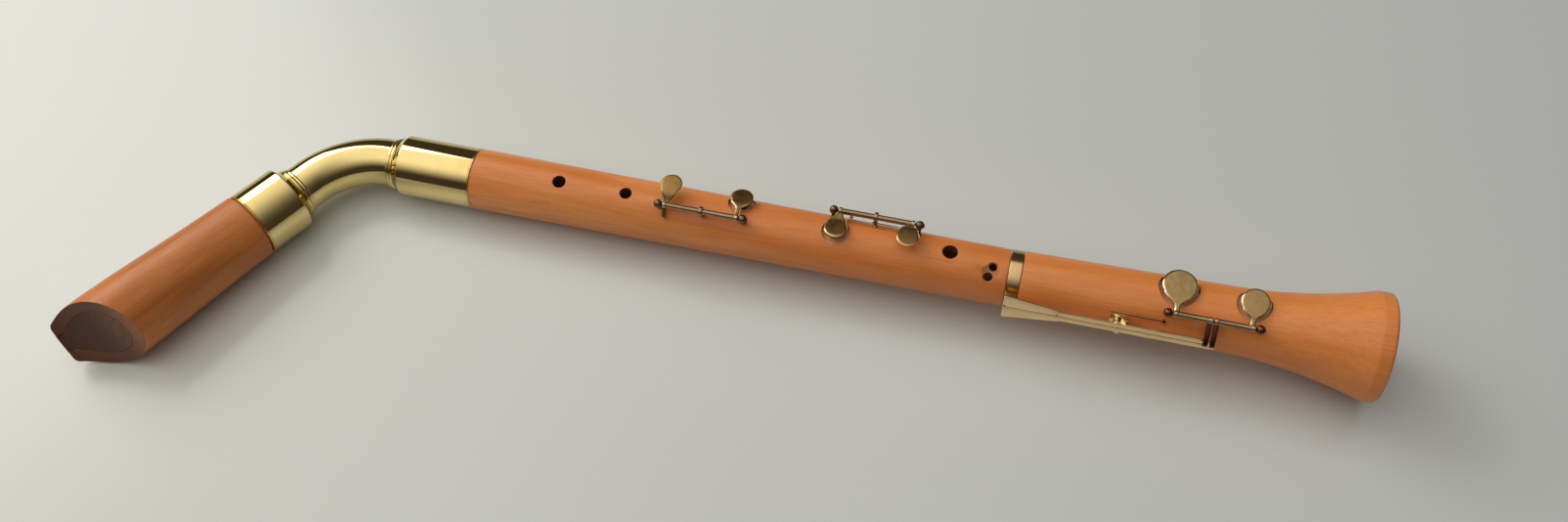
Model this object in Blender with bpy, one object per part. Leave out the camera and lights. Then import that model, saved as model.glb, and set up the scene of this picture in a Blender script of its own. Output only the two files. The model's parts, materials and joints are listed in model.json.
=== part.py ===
"""Bent-neck bass recorder, lying on a table on its bell rim, its neck sleeve and its head.

Lengths are metres and angles degrees. The wooden body's bore runs along +X to the bell.
Stations count from the top shoulder on the middle joint, from the middle joint's lower
shoulder on the foot, and from its own shoulder to the beak's tip on the head. An angle
round a bore counts from straight above it, and grows towards -Y, the side that the head
bends to. Keys are modelled closed and then opened.
"""
import math
from types import SimpleNamespace

import bmesh
import bpy
from mathutils import Matrix, Vector

# How the instrument lies
FRONT_ROLL = 12.0            # the finger holes lean this far from straight up
BEND_ANGLE = 62.5            # the head's direction against the body's, at the neck
HEAD_ROLL = 111.0            # the window side of the head, turned away and down

# Clearances
GAP = 0.0003                 # between pieces that touch
SIDE_PLAY = 0.0006           # beside a moving key or lever
TENON_PLAY = 0.0008          # round a tenon, filled by its cork
TENON_ROOM = 0.002           # past a tenon's end
SEAT_MARGIN = 0.0013         # round a cup, on its flat seat
OVERRUN = 0.001              # a cutter past the face that it cuts
EDGE = 0.0004                # the broken edges of turned pieces

# Middle joint
BODY_LENGTH = 0.358
BODY_TOP_R = 0.0203
BODY_END_R = 0.0184
BORE_TOP_R = 0.0143
BORE_END_R = 0.0113
UPPER_TENON_LENGTH = 0.040
LOWER_TENON_LENGTH = 0.030
LOWER_TENON_R = 0.0148
CORK_SINK = 0.0009
CORK_MARGIN = 0.006

# Neck
SLEEVE_WALL = 0.0009
SLEEVE_CORNER = 0.0012
UPPER_SLEEVE_LENGTH = 0.0525
UPPER_SHOULDER_LENGTH = 0.0032
UPPER_STRAIGHT = 0.0004      # of the tube, past the collar
LOWER_SLEEVE_LENGTH = 0.0315
LOWER_SHOULDER_LENGTH = 0.0035
LOWER_STRAIGHT = 0.0084
NECK_TUBE_R = 0.0158
NECK_TUBE_WALL = 0.0012
NECK_BEND_R = 0.055
BIG_BEAD = 0.0027            # the collar's bead beside the sleeve, along the tube
SMALL_BEAD = 0.0023
BIG_BEAD_HEIGHT = 0.0019
SMALL_BEAD_HEIGHT = 0.0010

# Head
HEAD_LENGTH = 0.134
HEAD_TOP_R = 0.0228
HEAD_WIDE_R = 0.0257
HEAD_TENON_LENGTH = 0.026
HEAD_BORE_R = 0.0150
BLOCK_R = 0.0176
BLOCK_START = 0.0725
BEAK_LENGTH = 0.037
BEAK_DRAW = 0.0033           # how much the head draws in to the beak's tip
BEAK_DRAW_LENGTH = 0.020
BEAK_CURVE = 1.85
BEAK_HEEL = 0.08             # the share of the cut that its rounded start takes
BEAK_SINK = 0.0008           # the cut's height at the tip, below the block's top
WINDWAY_WIDTH = 0.0150
WINDWAY_HEIGHT = 0.0014
WINDOW_LENGTH = 0.0060
RAMP_LENGTH = 0.026
RAMP_EDGE = 0.0008           # the ramp's edge above the block's top

# Foot joint
FOOT_LENGTH = 0.233
RING_LENGTH = 0.0082
RING_PROUD = 0.0003
FOOT_TOP_R = 0.0189
FOOT_LOW_R = 0.0227
FOOT_BORE_R = 0.0112
BELL_FLARE = 0.082
BELL_BAND = 0.009
BELL_R = 0.0345
BELL_LIP = 0.0025
BELL_MOUTH_R = 0.0235
BELL_MOUTH_DEPTH = 0.016

# Open holes: station, angle from the front, radius; the low ones count from the lower shoulder
FIFTH_FROM_END = 0.0378
SMALL_SIXTH_FROM_END = 0.0096
LARGE_SIXTH_FROM_END = 0.0117
SCOOP_FROM_END = 0.0108
FINGER_HOLES = {
    "first": (0.0605, 2.0, 0.0044),
    "second": (0.1061, 0.0, 0.0040),
    "fifth": (BODY_LENGTH - FIFTH_FROM_END, -6.0, 0.0050),
    "thumb": (0.048, 180.0, 0.0038),
}
SIXTH_HOLES = {
    "small": (BODY_LENGTH - SMALL_SIXTH_FROM_END, 9.5, 0.0025),
    "large": (BODY_LENGTH - LARGE_SIXTH_FROM_END, 31.0, 0.0028),
}
SCOOP = SimpleNamespace(station=BODY_LENGTH - SCOOP_FROM_END, angle=20.5, radius=0.0125, depth=0.0013)
HOLE_CHAMFER = 0.0009
HOLE_FLOOR = 0.004           # where a drill stops, past the bore's wall

# Keywork common sizes
TUBE_R = 0.0019
TUBE_COLLAR = 0.0004
TUBE_COLLAR_LENGTH = 0.002
PIN_R = 0.00085
PIN_HEAD = 0.0006
POST_BALL_R = 0.0029
POST_STEM_R = 0.0013
POST_FOOT = 0.0005
POST_SHANK_R = 0.0011
POST_SHANK_LENGTH = 0.004
SADDLE_RING_R = 0.0033
SADDLE_RING_LENGTH = 0.0024
PLATE_THICKNESS = 0.0011
CUP_DEPTH = 0.0026
CUP_WALL = 0.0008
CUP_LIP = 0.00025            # of the plate past its skirt
PAD_PROUD = 0.0008
TONE_HOLE_R = 0.0045
KEY_OPEN = 12.0
STEM_WIDTH = 0.0034
HEEL_WIDTH = 0.0024
HEEL_THICKNESS = 0.0018
HEEL_SWING = 18.0
CORK_THICKNESS = 0.0012
SPRING_R = 0.00035
SPRING_LENGTH = 0.018
SPRING_TAIL = 0.0022
SADDLE_SPRING_DROP = SADDLE_RING_R + 0.0008
POST_SPRING_DROP = 0.0033

# Middle joint keys: stations past the left post, angles from the front
FOURTH_KEY_FROM_END = 0.1160
MIDDLE_KEYS = {
    "third_key": dict(left=0.1305, length=0.0563, rod_angle=13.0, rod_rise=0.0065, saddle_past=0.0287,
                      heel_past=0.0045, hole_past=0.0514, hole_angle=-30.5, cup_r=0.0073,
                      touch_past=0.0057, touch_angle=-14.0, touch_r=0.0073, touch_reach=0.0139,
                      touch_rise=0.0040),
    "fourth_key": dict(left=BODY_LENGTH - FOURTH_KEY_FROM_END, length=0.0560, rod_angle=-37.0,
                       rod_rise=0.0066, saddle_past=0.0277, heel_past=0.0110, hole_past=0.0040,
                       hole_angle=-3.5, cup_r=0.0073, touch_past=0.0505, touch_angle=0.0,
                       touch_r=0.0073, touch_reach=0.0142, touch_rise=0.0050),
}

# Foot keys: both turn on one rod, and their holes count from the split between their tubes
LOW_ROD_ANGLE = 31.3
LOW_ROD_RISE = 0.0055
SPLIT_BEFORE_FLARE = 0.0150
ARM_OFF_SPLIT = 0.0021
LOW_KEYS = {
    "low_key": dict(way=-1.0, hole_past=0.0222, hole_angle=-16.5, cup_r=0.0106, post_past=0.0052,
                    lever_past=0.0003),
    "half_key": dict(way=1.0, hole_past=0.0233, hole_angle=-7.5, cup_r=0.0086, post_past=0.0049,
                     lever_past=0.0005),
}
ARM_WIDTH = 0.0025
ARM_THICKNESS = 0.0024
ARM_BALL_R = 0.0016
ARM_BALL_Y = 0.0012
ELBOW_DROP = 0.0005

# Levers
LEVER_ANGLE = 67.0
LEVER_RISE = 0.0062
LEVER_THICKNESS = 0.0015
LEVER_BAR_WIDTH = 0.0031
LEVER_CORNER = 0.0006
LEVER_TOUCH_END = 0.0355
LEVER_TOUCH_WIDTH = 0.0088
LEVER_TOUCH_NARROW = 0.0042
LEVER_PIVOT = 0.0720
LEVER_BARREL_R = 0.0019
BARREL_SINK = 0.0008         # the barrel's top, inside the bar
BRACKET_LENGTH = 0.011
BRACKET_EAR = 0.0013
BRACKET_EAR_R = 0.0022
BRACKET_LEDGE = 0.0002       # of the base, outside the ears
BRACKET_BASE = 0.0012
BRACKET_SEAT_MARGIN = 0.0012
LEVER_SCREW_AT = 0.0990
LEVER_SCREW_Y = 0.0061
LEVER_SCREW_R = 0.0010
LEVER_SCREW_RISE = 0.0022

# Roundness
WOOD_SIDES = 36
TUBE_SIDES = 24
CUP_SIDES = 20
POST_SIDES = 10
PIN_SIDES = 8
BEND_STEPS = 9


def ease(share):
    return 0.5 - 0.5 * math.cos(math.pi * min(max(share, 0.0), 1.0))


def body_radius(station):
    return BODY_TOP_R + (BODY_END_R - BODY_TOP_R) * station / BODY_LENGTH


FOOT_START = GAP + RING_LENGTH + GAP
BAND_START = FOOT_LENGTH - BELL_BAND
FLARE_START = BAND_START - BELL_FLARE
LOW_SPLIT = FLARE_START - SPLIT_BEFORE_FLARE


def foot_radius(station):
    """A slow taper from the ring to the bell's band, and a flare that curves out to the band."""
    slow = (station - FOOT_START) / (BAND_START - FOOT_START)
    flare = max(station - FLARE_START, 0.0) / BELL_FLARE
    radius = FOOT_TOP_R + (FOOT_LOW_R - FOOT_TOP_R) * slow + (BELL_R - FOOT_LOW_R) * flare ** 2
    return min(radius, BELL_R)


HEAD_REST = HEAD_LENGTH - BEAK_DRAW_LENGTH


def head_radius(station):
    """Swells slowly from the shoulder to the throat, then draws in a little to the beak's tip."""
    drawn = max(station - HEAD_REST, 0.0) / BEAK_DRAW_LENGTH
    return HEAD_TOP_R + (HEAD_WIDE_R - HEAD_TOP_R) * ease(station / HEAD_REST) - BEAK_DRAW * drawn ** 2


# Sizes that follow from the ones above
UPPER_SOCKET_R = BODY_TOP_R - SLEEVE_WALL
UPPER_TENON_R = UPPER_SOCKET_R - TENON_PLAY
LOWER_SOCKET_R = LOWER_TENON_R + TENON_PLAY
LOWER_SLEEVE_R = HEAD_TOP_R - RING_PROUD
HEAD_SOCKET_R = LOWER_SLEEVE_R - SLEEVE_WALL
HEAD_TENON_R = HEAD_SOCKET_R - TENON_PLAY
SHOULDER_END_R = NECK_TUBE_R + BIG_BEAD_HEIGHT
COLLAR_LENGTH = BIG_BEAD + SMALL_BEAD
NECK_TANGENT = NECK_BEND_R * math.tan(math.radians(BEND_ANGLE / 2.0))
UPPER_APEX = (UPPER_SLEEVE_LENGTH + UPPER_SHOULDER_LENGTH + GAP + COLLAR_LENGTH + UPPER_STRAIGHT
              + NECK_TANGENT)
LOWER_APEX = (LOWER_SLEEVE_LENGTH + LOWER_SHOULDER_LENGTH + GAP + COLLAR_LENGTH + LOWER_STRAIGHT
              + NECK_TANGENT)
LEVER_TOP = foot_radius(LOW_SPLIT) + LEVER_RISE
LEVER_PIVOT_HEIGHT = LEVER_TOP - LEVER_THICKNESS - LEVER_BARREL_R + BARREL_SINK
LEVER_HALF = SIDE_PLAY / 2.0 + LEVER_BAR_WIDTH
EAR_MIDDLE = LEVER_HALF + SIDE_PLAY / 2.0 + BRACKET_EAR / 2.0
BRACKET_HALF = EAR_MIDDLE + BRACKET_EAR / 2.0 + BRACKET_LEDGE
BRACKET_SEAT = math.sqrt(foot_radius(LEVER_PIVOT) ** 2 - (BRACKET_HALF + BRACKET_SEAT_MARGIN) ** 2)


# Blender helpers

def clear_scene():
    for item in list(bpy.data.objects):
        bpy.data.objects.remove(item, do_unlink=True)


def material(name, colour, roughness, metallic):
    found = bpy.data.materials.get(name)
    if found:
        return found
    made = bpy.data.materials.new(name)
    made.use_nodes = True
    shader = made.node_tree.nodes["Principled BSDF"]
    shader.inputs["Base Color"].default_value = (*colour, 1.0)
    shader.inputs["Roughness"].default_value = roughness
    shader.inputs["Metallic"].default_value = metallic
    return made


def middle_wood():
    return material("pearwood_middle", (0.60, 0.30, 0.14), 0.42, 0.0)


def foot_wood():
    return material("pearwood_foot", (0.66, 0.35, 0.18), 0.42, 0.0)


def head_wood():
    return material("pearwood_head", (0.52, 0.22, 0.10), 0.40, 0.0)


def cedar():
    return material("cedar", (0.30, 0.14, 0.07), 0.70, 0.0)


def lacquered_brass():
    return material("lacquered_brass", (0.83, 0.72, 0.46), 0.18, 1.0)


def aged_brass():
    return material("aged_brass", (0.44, 0.37, 0.21), 0.35, 1.0)


def dark_steel():
    return material("dark_steel", (0.12, 0.12, 0.12), 0.30, 1.0)


def cork():
    return material("cork", (0.70, 0.50, 0.30), 0.90, 0.0)


def pad_leather():
    return material("pad_leather", (0.82, 0.80, 0.74), 0.80, 0.0)


def frame_empty(name, parent, matrix):
    made = bpy.data.objects.new(name, None)
    bpy.context.collection.objects.link(made)
    made.parent = parent
    made.matrix_local = matrix
    return made


def roll(angle):
    return Matrix.Rotation(math.radians(angle), 4, "X")


def at(angle, station=0.0, height=0.0):
    """A place beside a bore: turned round it, moved along it and out from it."""
    return roll(angle) @ Matrix.Translation((station, 0.0, height))


def along_z(place):
    """The X axis of a turned profile set along the place's Z axis."""
    return place @ Matrix.Rotation(math.radians(-90.0), 4, "Y")


def along_y(place):
    return place @ Matrix.Rotation(math.radians(90.0), 4, "Z")


def finish_mesh(name, shape, parent, surface=None):
    bmesh.ops.remove_doubles(shape, verts=shape.verts, dist=1e-7)
    bmesh.ops.recalc_face_normals(shape, faces=shape.faces)
    mesh = bpy.data.meshes.new(name)
    shape.to_mesh(mesh)
    shape.free()
    mesh.shade_smooth()
    mesh.set_sharp_from_angle(angle=math.radians(40.0))
    made = bpy.data.objects.new(name, mesh)
    bpy.context.collection.objects.link(made)
    made.parent = parent
    if surface:
        mesh.materials.append(surface)
    return made


def combine(target, name, shape, operation):
    """Joins a hidden shape to a piece, or takes it out of the piece, in the piece's own frame."""
    tool = finish_mesh(f"{target.name}_{name}", shape, target.parent)
    tool.hide_render = True
    tool.display_type = "WIRE"
    step = target.modifiers.new(name, "BOOLEAN")
    step.operation = operation
    step.solver = "EXACT"
    step.object = tool


def cut(target, name, shape):
    combine(target, name, shape, "DIFFERENCE")


def fuse(target, name, shape):
    combine(target, name, shape, "UNION")


# Shapes

def join_rings(shape, first, second):
    sides = max(len(first), len(second))
    for side in range(sides):
        after = (side + 1) % sides
        if len(first) == 1:
            shape.faces.new((first[0], second[after], second[side]))
        elif len(second) == 1:
            shape.faces.new((first[side], first[after], second[0]))
        else:
            shape.faces.new((first[side], first[after], second[after], second[side]))


def add_turned(shape, profile, sides, place):
    """A profile of (station, radius) points, closed round the X axis; radius 0 is a pole."""
    rings = []
    for station, radius in profile:
        if radius == 0.0:
            rings.append([shape.verts.new(place @ Vector((station, 0.0, 0.0)))])
            continue
        ring = []
        for side in range(sides):
            turn = 2.0 * math.pi * side / sides
            spot = Vector((station, radius * math.cos(turn), radius * math.sin(turn)))
            ring.append(shape.verts.new(place @ spot))
        rings.append(ring)
    solid = len(rings[0]) == 1 and len(rings[-1]) == 1
    for number in range(len(rings) - (1 if solid else 0)):
        join_rings(shape, rings[number], rings[(number + 1) % len(rings)])


def add_cylinder(shape, start, end, radius, sides, place):
    add_turned(shape, [(start, 0.0), (start, radius), (end, radius), (end, 0.0)], sides, place)


def add_strip(shape, stations, place):
    """A bar of four-cornered sections: (centre, half width vector, half thickness vector)."""
    rings = []
    for centre, across, through in stations:
        corners = (centre + across + through, centre + across - through,
                   centre - across - through, centre - across + through)
        rings.append([shape.verts.new(place @ corner) for corner in corners])
    for first, second in zip(rings, rings[1:]):
        join_rings(shape, first, second)
    shape.faces.new(rings[0])
    shape.faces.new(rings[-1])


def add_prism(shape, outline, half_width, place=Matrix.Identity(4)):
    """An outline of (x, z) points, carried from -half_width to half_width along Y."""
    ends = []
    for y in (-half_width, half_width):
        ends.append([shape.verts.new(place @ Vector((x, y, z))) for x, z in outline])
    join_rings(shape, ends[0], ends[1])
    shape.faces.new(ends[0])
    shape.faces.new(ends[1])


def add_block(shape, start, end, half, low, high, place):
    outline = [(start, low), (end, low), (end, high), (start, high)]
    add_prism(shape, outline, half, place)


def turned(name, profile, sides, parent, surface, place=Matrix.Identity(4)):
    shape = bmesh.new()
    add_turned(shape, profile, sides, place)
    return finish_mesh(name, shape, parent, surface)


def drill(target, name, start, end, radius, place):
    shape = bmesh.new()
    add_cylinder(shape, start, end, radius, PIN_SIDES, place)
    cut(target, name, shape)


def arc(parts, turn=180.0):
    """Sine and cosine of the angles that part a turn, its two ends included."""
    steps = [math.radians(turn * part / parts) for part in range(parts + 1)]
    return [(math.sin(step), math.cos(step)) for step in steps]


# The table pose

def head_matrix():
    """From the head's own frame to the body's: its bore runs from the neck to the beak."""
    apex = Vector((-UPPER_APEX, 0.0, 0.0))
    turn = Matrix.Rotation(math.radians(180.0 + BEND_ANGLE), 4, "Z")
    start = apex + turn.to_3x3() @ Vector((LOWER_APEX, 0.0, 0.0))
    return Matrix.Translation(start) @ turn


def lying_rotation():
    """Turns the instrument until its bell rim, neck sleeve and head are equally low."""
    head = head_matrix()
    axis = head.to_3x3() @ Vector((1.0, 0.0, 0.0))
    rims = [
        (Vector((BODY_LENGTH + BAND_START, 0.0, 0.0)), Vector((1.0, 0.0, 0.0)), BELL_R),
        (Vector((-UPPER_SLEEVE_LENGTH, 0.0, 0.0)), Vector((1.0, 0.0, 0.0)), BODY_TOP_R),
        (head @ Vector((HEAD_REST, 0.0, 0.0)), axis, HEAD_WIDE_R),
    ]
    lean_x = 0.0
    lean_y = 0.0
    for _ in range(12):
        up = Vector((lean_x, lean_y, 1.0)).normalized()
        low = [up.dot(spot) - radius * math.sqrt(1.0 - up.dot(along) ** 2)
               for spot, along, radius in rims]
        first = rims[1][0] - rims[0][0]
        second = rims[2][0] - rims[0][0]
        scale = first.x * second.y - first.y * second.x
        lean_x -= ((low[1] - low[0]) * second.y - (low[2] - low[0]) * first.y) / scale
        lean_y -= ((low[2] - low[0]) * first.x - (low[1] - low[0]) * second.x) / scale
    up = Vector((lean_x, lean_y, 1.0)).normalized()
    forward = (Vector((1.0, 0.0, 0.0)) - up * up.x).normalized()
    return Matrix((forward, up.cross(forward), up)).to_4x4()


def centre_over_origin(root):
    """Moves the whole instrument until the middle of its box's underside is the origin."""
    bpy.context.view_layer.update()
    graph = bpy.context.evaluated_depsgraph_get()
    spots = []
    for item in bpy.data.objects:
        if item.type != "MESH" or item.hide_render:
            continue
        shown = item.evaluated_get(graph)
        place = item.matrix_world
        spots.extend(place @ corner.co for corner in shown.data.vertices)
    low = [min(spot[axis] for spot in spots) for axis in range(3)]
    high = [max(spot[axis] for spot in spots) for axis in range(3)]
    shift = Vector((-(low[0] + high[0]) / 2.0, -(low[1] + high[1]) / 2.0, -low[2]))
    root.matrix_local = Matrix.Translation(shift) @ root.matrix_local


# Wooden joints

def tenon_points(start, end, radius):
    """A tenon's outline from its shoulder to its end, with the shallow groove for its cork."""
    way = 1.0 if end > start else -1.0
    groove = radius - CORK_SINK
    return [(start, radius), (start + way * CORK_MARGIN, radius), (start + way * CORK_MARGIN, groove),
            (end - way * CORK_MARGIN, groove), (end - way * CORK_MARGIN, radius), (end, radius)]


def tenon_cork(name, start, end, tenon_r, socket_r, parent):
    low = min(start, end) + CORK_MARGIN + GAP
    high = max(start, end) - CORK_MARGIN - GAP
    inner = tenon_r - CORK_SINK + GAP
    outer = socket_r - GAP
    profile = [(low, inner), (low, outer - EDGE), (low + EDGE, outer), (high - EDGE, outer),
               (high, outer - EDGE), (high, inner)]
    return turned(name, profile, TUBE_SIDES, parent, cork())


def add_hole(shape, station, angle, radius, surface_r):
    """A chamfered finger hole's drill body, from outside the wall to the bore."""
    profile = [
        (HOLE_FLOOR, 0.0),
        (HOLE_FLOOR, radius),
        (surface_r - HOLE_CHAMFER, radius),
        (surface_r + OVERRUN, radius + HOLE_CHAMFER + OVERRUN),
        (surface_r + OVERRUN, 0.0),
    ]
    add_turned(shape, profile, CUP_SIDES, along_z(at(angle, station)))


def seat_floor(key, surface_r):
    """Height of the flat pad seat: the circle just fits on the round wood."""
    return math.sqrt(surface_r ** 2 - (key.cup_r + SEAT_MARGIN) ** 2)


def add_seat(shape, key, surface_r):
    floor = seat_floor(key, surface_r)
    seat_r = key.cup_r + SEAT_MARGIN
    top = surface_r + 2.0 * OVERRUN
    profile = [(HOLE_FLOOR, 0.0), (HOLE_FLOOR, TONE_HOLE_R), (floor, TONE_HOLE_R), (floor, seat_r),
               (top, seat_r), (top, 0.0)]
    add_turned(shape, profile, CUP_SIDES, along_z(at(key.hole_angle, key.hole_at)))


def drill_posts(target, places):
    """The blind holes that take post shanks; each place is (station, angle, wood radius)."""
    shanks = bmesh.new()
    for station, angle, surface_r in places:
        add_cylinder(shanks, surface_r - POST_SHANK_LENGTH - GAP, surface_r + OVERRUN,
                     POST_SHANK_R + GAP, POST_SIDES, along_z(at(angle, station)))
    cut(target, "post_drills", shanks)


def middle_joint(keys, parent):
    lower_end = BODY_LENGTH + LOWER_TENON_LENGTH
    outer = [(-UPPER_TENON_LENGTH, BORE_TOP_R)]
    outer += reversed(tenon_points(0.0, -UPPER_TENON_LENGTH, UPPER_TENON_R))
    outer += [(0.0, BODY_TOP_R - EDGE), (EDGE, BODY_TOP_R)]
    outer += [(BODY_LENGTH, BODY_END_R)]
    outer += tenon_points(BODY_LENGTH, lower_end, LOWER_TENON_R)
    outer += [(lower_end, BORE_END_R)]
    body = turned("middle_joint", outer, WOOD_SIDES, parent, middle_wood())

    holes = bmesh.new()
    for station, angle, radius in FINGER_HOLES.values():
        add_hole(holes, station, angle, radius, body_radius(station))
    for key in keys:
        add_seat(holes, key, body_radius(key.hole_at))
    cut(body, "hole_drills", holes)

    scoop = bmesh.new()
    lift = body_radius(SCOOP.station) + SCOOP.radius - SCOOP.depth
    ball = [(lift - SCOOP.radius * cosine, SCOOP.radius * sine) for sine, cosine in arc(8)[1:-1]]
    add_turned(scoop, [(lift - SCOOP.radius, 0.0), *ball, (lift + SCOOP.radius, 0.0)], CUP_SIDES,
               along_z(at(SCOOP.angle, SCOOP.station)))
    cut(body, "sixth_scoop", scoop)
    for name, (station, angle, radius) in SIXTH_HOLES.items():
        drill(body, f"sixth_{name}_drill", HOLE_FLOOR, body_radius(station) + OVERRUN, radius,
              along_z(at(angle, station)))

    drill_posts(body, [(station, key.rod.angle, body_radius(station))
                       for key in keys for station in (key.rod.left, key.saddle, key.rod.right)])
    tenon_cork("upper_tenon_cork", 0.0, -UPPER_TENON_LENGTH, UPPER_TENON_R, UPPER_SOCKET_R, parent)
    tenon_cork("lower_tenon_cork", BODY_LENGTH, lower_end, LOWER_TENON_R, LOWER_SOCKET_R, parent)


def foot_ring(parent):
    start = GAP
    end = GAP + RING_LENGTH
    inner = LOWER_SOCKET_R + GAP
    outer = BODY_END_R + RING_PROUD
    profile = [(start, inner), (start, outer - EDGE), (start + EDGE, outer), (end - EDGE, outer),
               (end, outer - EDGE), (end, inner)]
    turned("foot_ring", profile, WOOD_SIDES, parent, lacquered_brass())


def foot_joint(keys, parent):
    socket_end = LOWER_TENON_LENGTH + TENON_ROOM
    outer = [(FOOT_START, LOWER_SOCKET_R), (FOOT_START, foot_radius(FOOT_START))]
    for part in range(9):
        station = FLARE_START + BELL_FLARE * part / 8.0
        outer.append((station, foot_radius(station)))
    outer += [(FOOT_LENGTH - BELL_LIP * (1.0 - sine), BELL_R - BELL_LIP * (1.0 - cosine))
              for sine, cosine in arc(3, 90.0)]
    flat = (BELL_MOUTH_R - FOOT_BORE_R) * 0.8
    outer += [(FOOT_LENGTH - BELL_MOUTH_DEPTH * (1.0 - cosine), BELL_MOUTH_R - flat * sine)
              for sine, cosine in arc(4, 90.0)]
    outer += [(socket_end, FOOT_BORE_R), (socket_end, LOWER_SOCKET_R)]
    body = turned("foot_joint", outer, WOOD_SIDES, parent, foot_wood())

    seats = bmesh.new()
    for key in keys:
        add_seat(seats, key, foot_radius(key.hole_at))
    half_length = BRACKET_LENGTH / 2.0 + GAP
    add_block(seats, LEVER_PIVOT - half_length, LEVER_PIVOT + half_length, BRACKET_HALF + GAP,
              BRACKET_SEAT, foot_radius(LEVER_PIVOT) + OVERRUN, at(LEVER_ANGLE))
    cut(body, "seats", seats)
    screw = lever_screw_place()
    posts = [(key.post, LOW_ROD_ANGLE, foot_radius(key.post)) for key in keys]
    drill_posts(body, posts + [(LEVER_SCREW_AT, screw.angle, screw.surface_r)])


# Neck

def sleeve(name, length, shoulder, radius, depth, parent):
    """A brass socket: a straight wall, a rounded corner, a shoulder, and the neck tube's hole."""
    inner = radius - SLEEVE_WALL
    hole = NECK_TUBE_R + GAP
    points = [(GAP, inner), (GAP, radius)]
    points += [(length - SLEEVE_CORNER * (1.0 - sine), radius - SLEEVE_CORNER * (1.0 - cosine))
               for sine, cosine in arc(3, 60.0)]
    points += [(length + shoulder, SHOULDER_END_R), (length + shoulder, hole), (depth, hole), (depth, inner)]
    turned(name, [(-station, wide) for station, wide in points], WOOD_SIDES, parent, lacquered_brass())


def collar(name, start, parent):
    """Two half-round beads round the tube, the bigger one beside the sleeve."""
    inner = NECK_TUBE_R + GAP
    points = [(start, inner)]
    for length, height in ((BIG_BEAD, BIG_BEAD_HEIGHT), (SMALL_BEAD, SMALL_BEAD_HEIGHT)):
        rise = height - GAP
        points += [(start + length * (0.5 - 0.5 * cosine), inner + rise * (0.25 + 0.75 * sine))
                   for sine, cosine in arc(5)]
        start += length
    points.append((start, inner))
    turned(name, [(-station, wide) for station, wide in points], TUBE_SIDES, parent, lacquered_brass())


def neck_tube(upper_depth, lower_depth, parent):
    """The bent tube: a straight stub in each sleeve and an arc between them."""
    arc_centre = Vector((-UPPER_APEX + NECK_TANGENT, -NECK_BEND_R, 0.0))
    frames = [(Vector((-upper_depth - GAP, 0.0, 0.0)), 0.0)]
    for part in range(BEND_STEPS + 1):
        turn = math.radians(BEND_ANGLE * part / BEND_STEPS)
        spot = arc_centre + NECK_BEND_R * Vector((-math.sin(turn), math.cos(turn), 0.0))
        frames.append((spot, turn))
    last = head_matrix() @ Vector((-lower_depth - GAP, 0.0, 0.0))
    frames.append((last, math.radians(BEND_ANGLE)))
    shape = bmesh.new()
    walls = []
    for radius in (NECK_TUBE_R, NECK_TUBE_R - NECK_TUBE_WALL):
        rings = []
        for spot, turn in frames:
            outward = Vector((-math.sin(turn), math.cos(turn), 0.0))
            ring = []
            for side in range(TUBE_SIDES):
                angle = 2.0 * math.pi * side / TUBE_SIDES
                reach = outward * math.cos(angle) + Vector((0.0, 0.0, 1.0)) * math.sin(angle)
                ring.append(shape.verts.new(spot + radius * reach))
            rings.append(ring)
        for first, second in zip(rings, rings[1:]):
            join_rings(shape, first, second)
        walls.append(rings)
    join_rings(shape, walls[0][0], walls[1][0])
    join_rings(shape, walls[0][-1], walls[1][-1])
    finish_mesh("neck_tube", shape, parent, lacquered_brass())


def neck(body_side, head_side):
    upper_depth = UPPER_TENON_LENGTH + TENON_ROOM
    lower_depth = HEAD_TENON_LENGTH + TENON_ROOM
    sleeve("upper_sleeve", UPPER_SLEEVE_LENGTH, UPPER_SHOULDER_LENGTH, BODY_TOP_R, upper_depth, body_side)
    sleeve("lower_sleeve", LOWER_SLEEVE_LENGTH, LOWER_SHOULDER_LENGTH, LOWER_SLEEVE_R, lower_depth, head_side)
    collar("upper_collar", UPPER_SLEEVE_LENGTH + UPPER_SHOULDER_LENGTH + GAP, body_side)
    collar("lower_collar", LOWER_SLEEVE_LENGTH + LOWER_SHOULDER_LENGTH + GAP, head_side)
    neck_tube(upper_depth, lower_depth, body_side)


# Head

def beak_cut_height(share):
    """The beak's hollow cut, from its rounded start on the throat side to the tip."""
    low = -head_radius(HEAD_LENGTH - BEAK_LENGTH)
    rise = 1.0 - (1.0 - share) ** BEAK_CURVE
    rounded = share * (1.0 + BEAK_HEEL) / (share + BEAK_HEEL)
    return low + (BLOCK_R - BEAK_SINK - low) * rise * rounded


def cut_beak(target):
    outside = 2.0 * HEAD_WIDE_R
    end = HEAD_LENGTH + OVERRUN
    start = HEAD_LENGTH - BEAK_LENGTH
    outline = [(start - OVERRUN, -outside), (start - OVERRUN, beak_cut_height(0.0) - EDGE)]
    for part in range(17):
        share = (part / 16.0) ** 1.5
        outline.append((start + BEAK_LENGTH * share, beak_cut_height(share)))
    outline += [(end, beak_cut_height(1.0)), (end, -outside)]
    shape = bmesh.new()
    add_prism(shape, outline, outside)
    cut(target, "beak_cut", shape)


def add_windway(shape):
    """An arched slot over the block's round top, from the window to the beak's tip."""
    half = WINDWAY_WIDTH / 2.0 - EDGE
    rings = []
    for station in (BLOCK_START - OVERRUN, HEAD_LENGTH + OVERRUN):
        ring = []
        for radius, way in ((BLOCK_R + WINDWAY_HEIGHT, 1.0), (BLOCK_R - OVERRUN, -1.0)):
            widest = math.asin(half / radius)
            for part in range(7):
                turn = way * widest * (part / 3.0 - 1.0)
                spot = Vector((station, radius * math.sin(turn), radius * math.cos(turn)))
                ring.append(shape.verts.new(spot))
        rings.append(ring)
    join_rings(shape, rings[0], rings[1])
    shape.faces.new(rings[0])
    shape.faces.new(rings[1])


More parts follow.
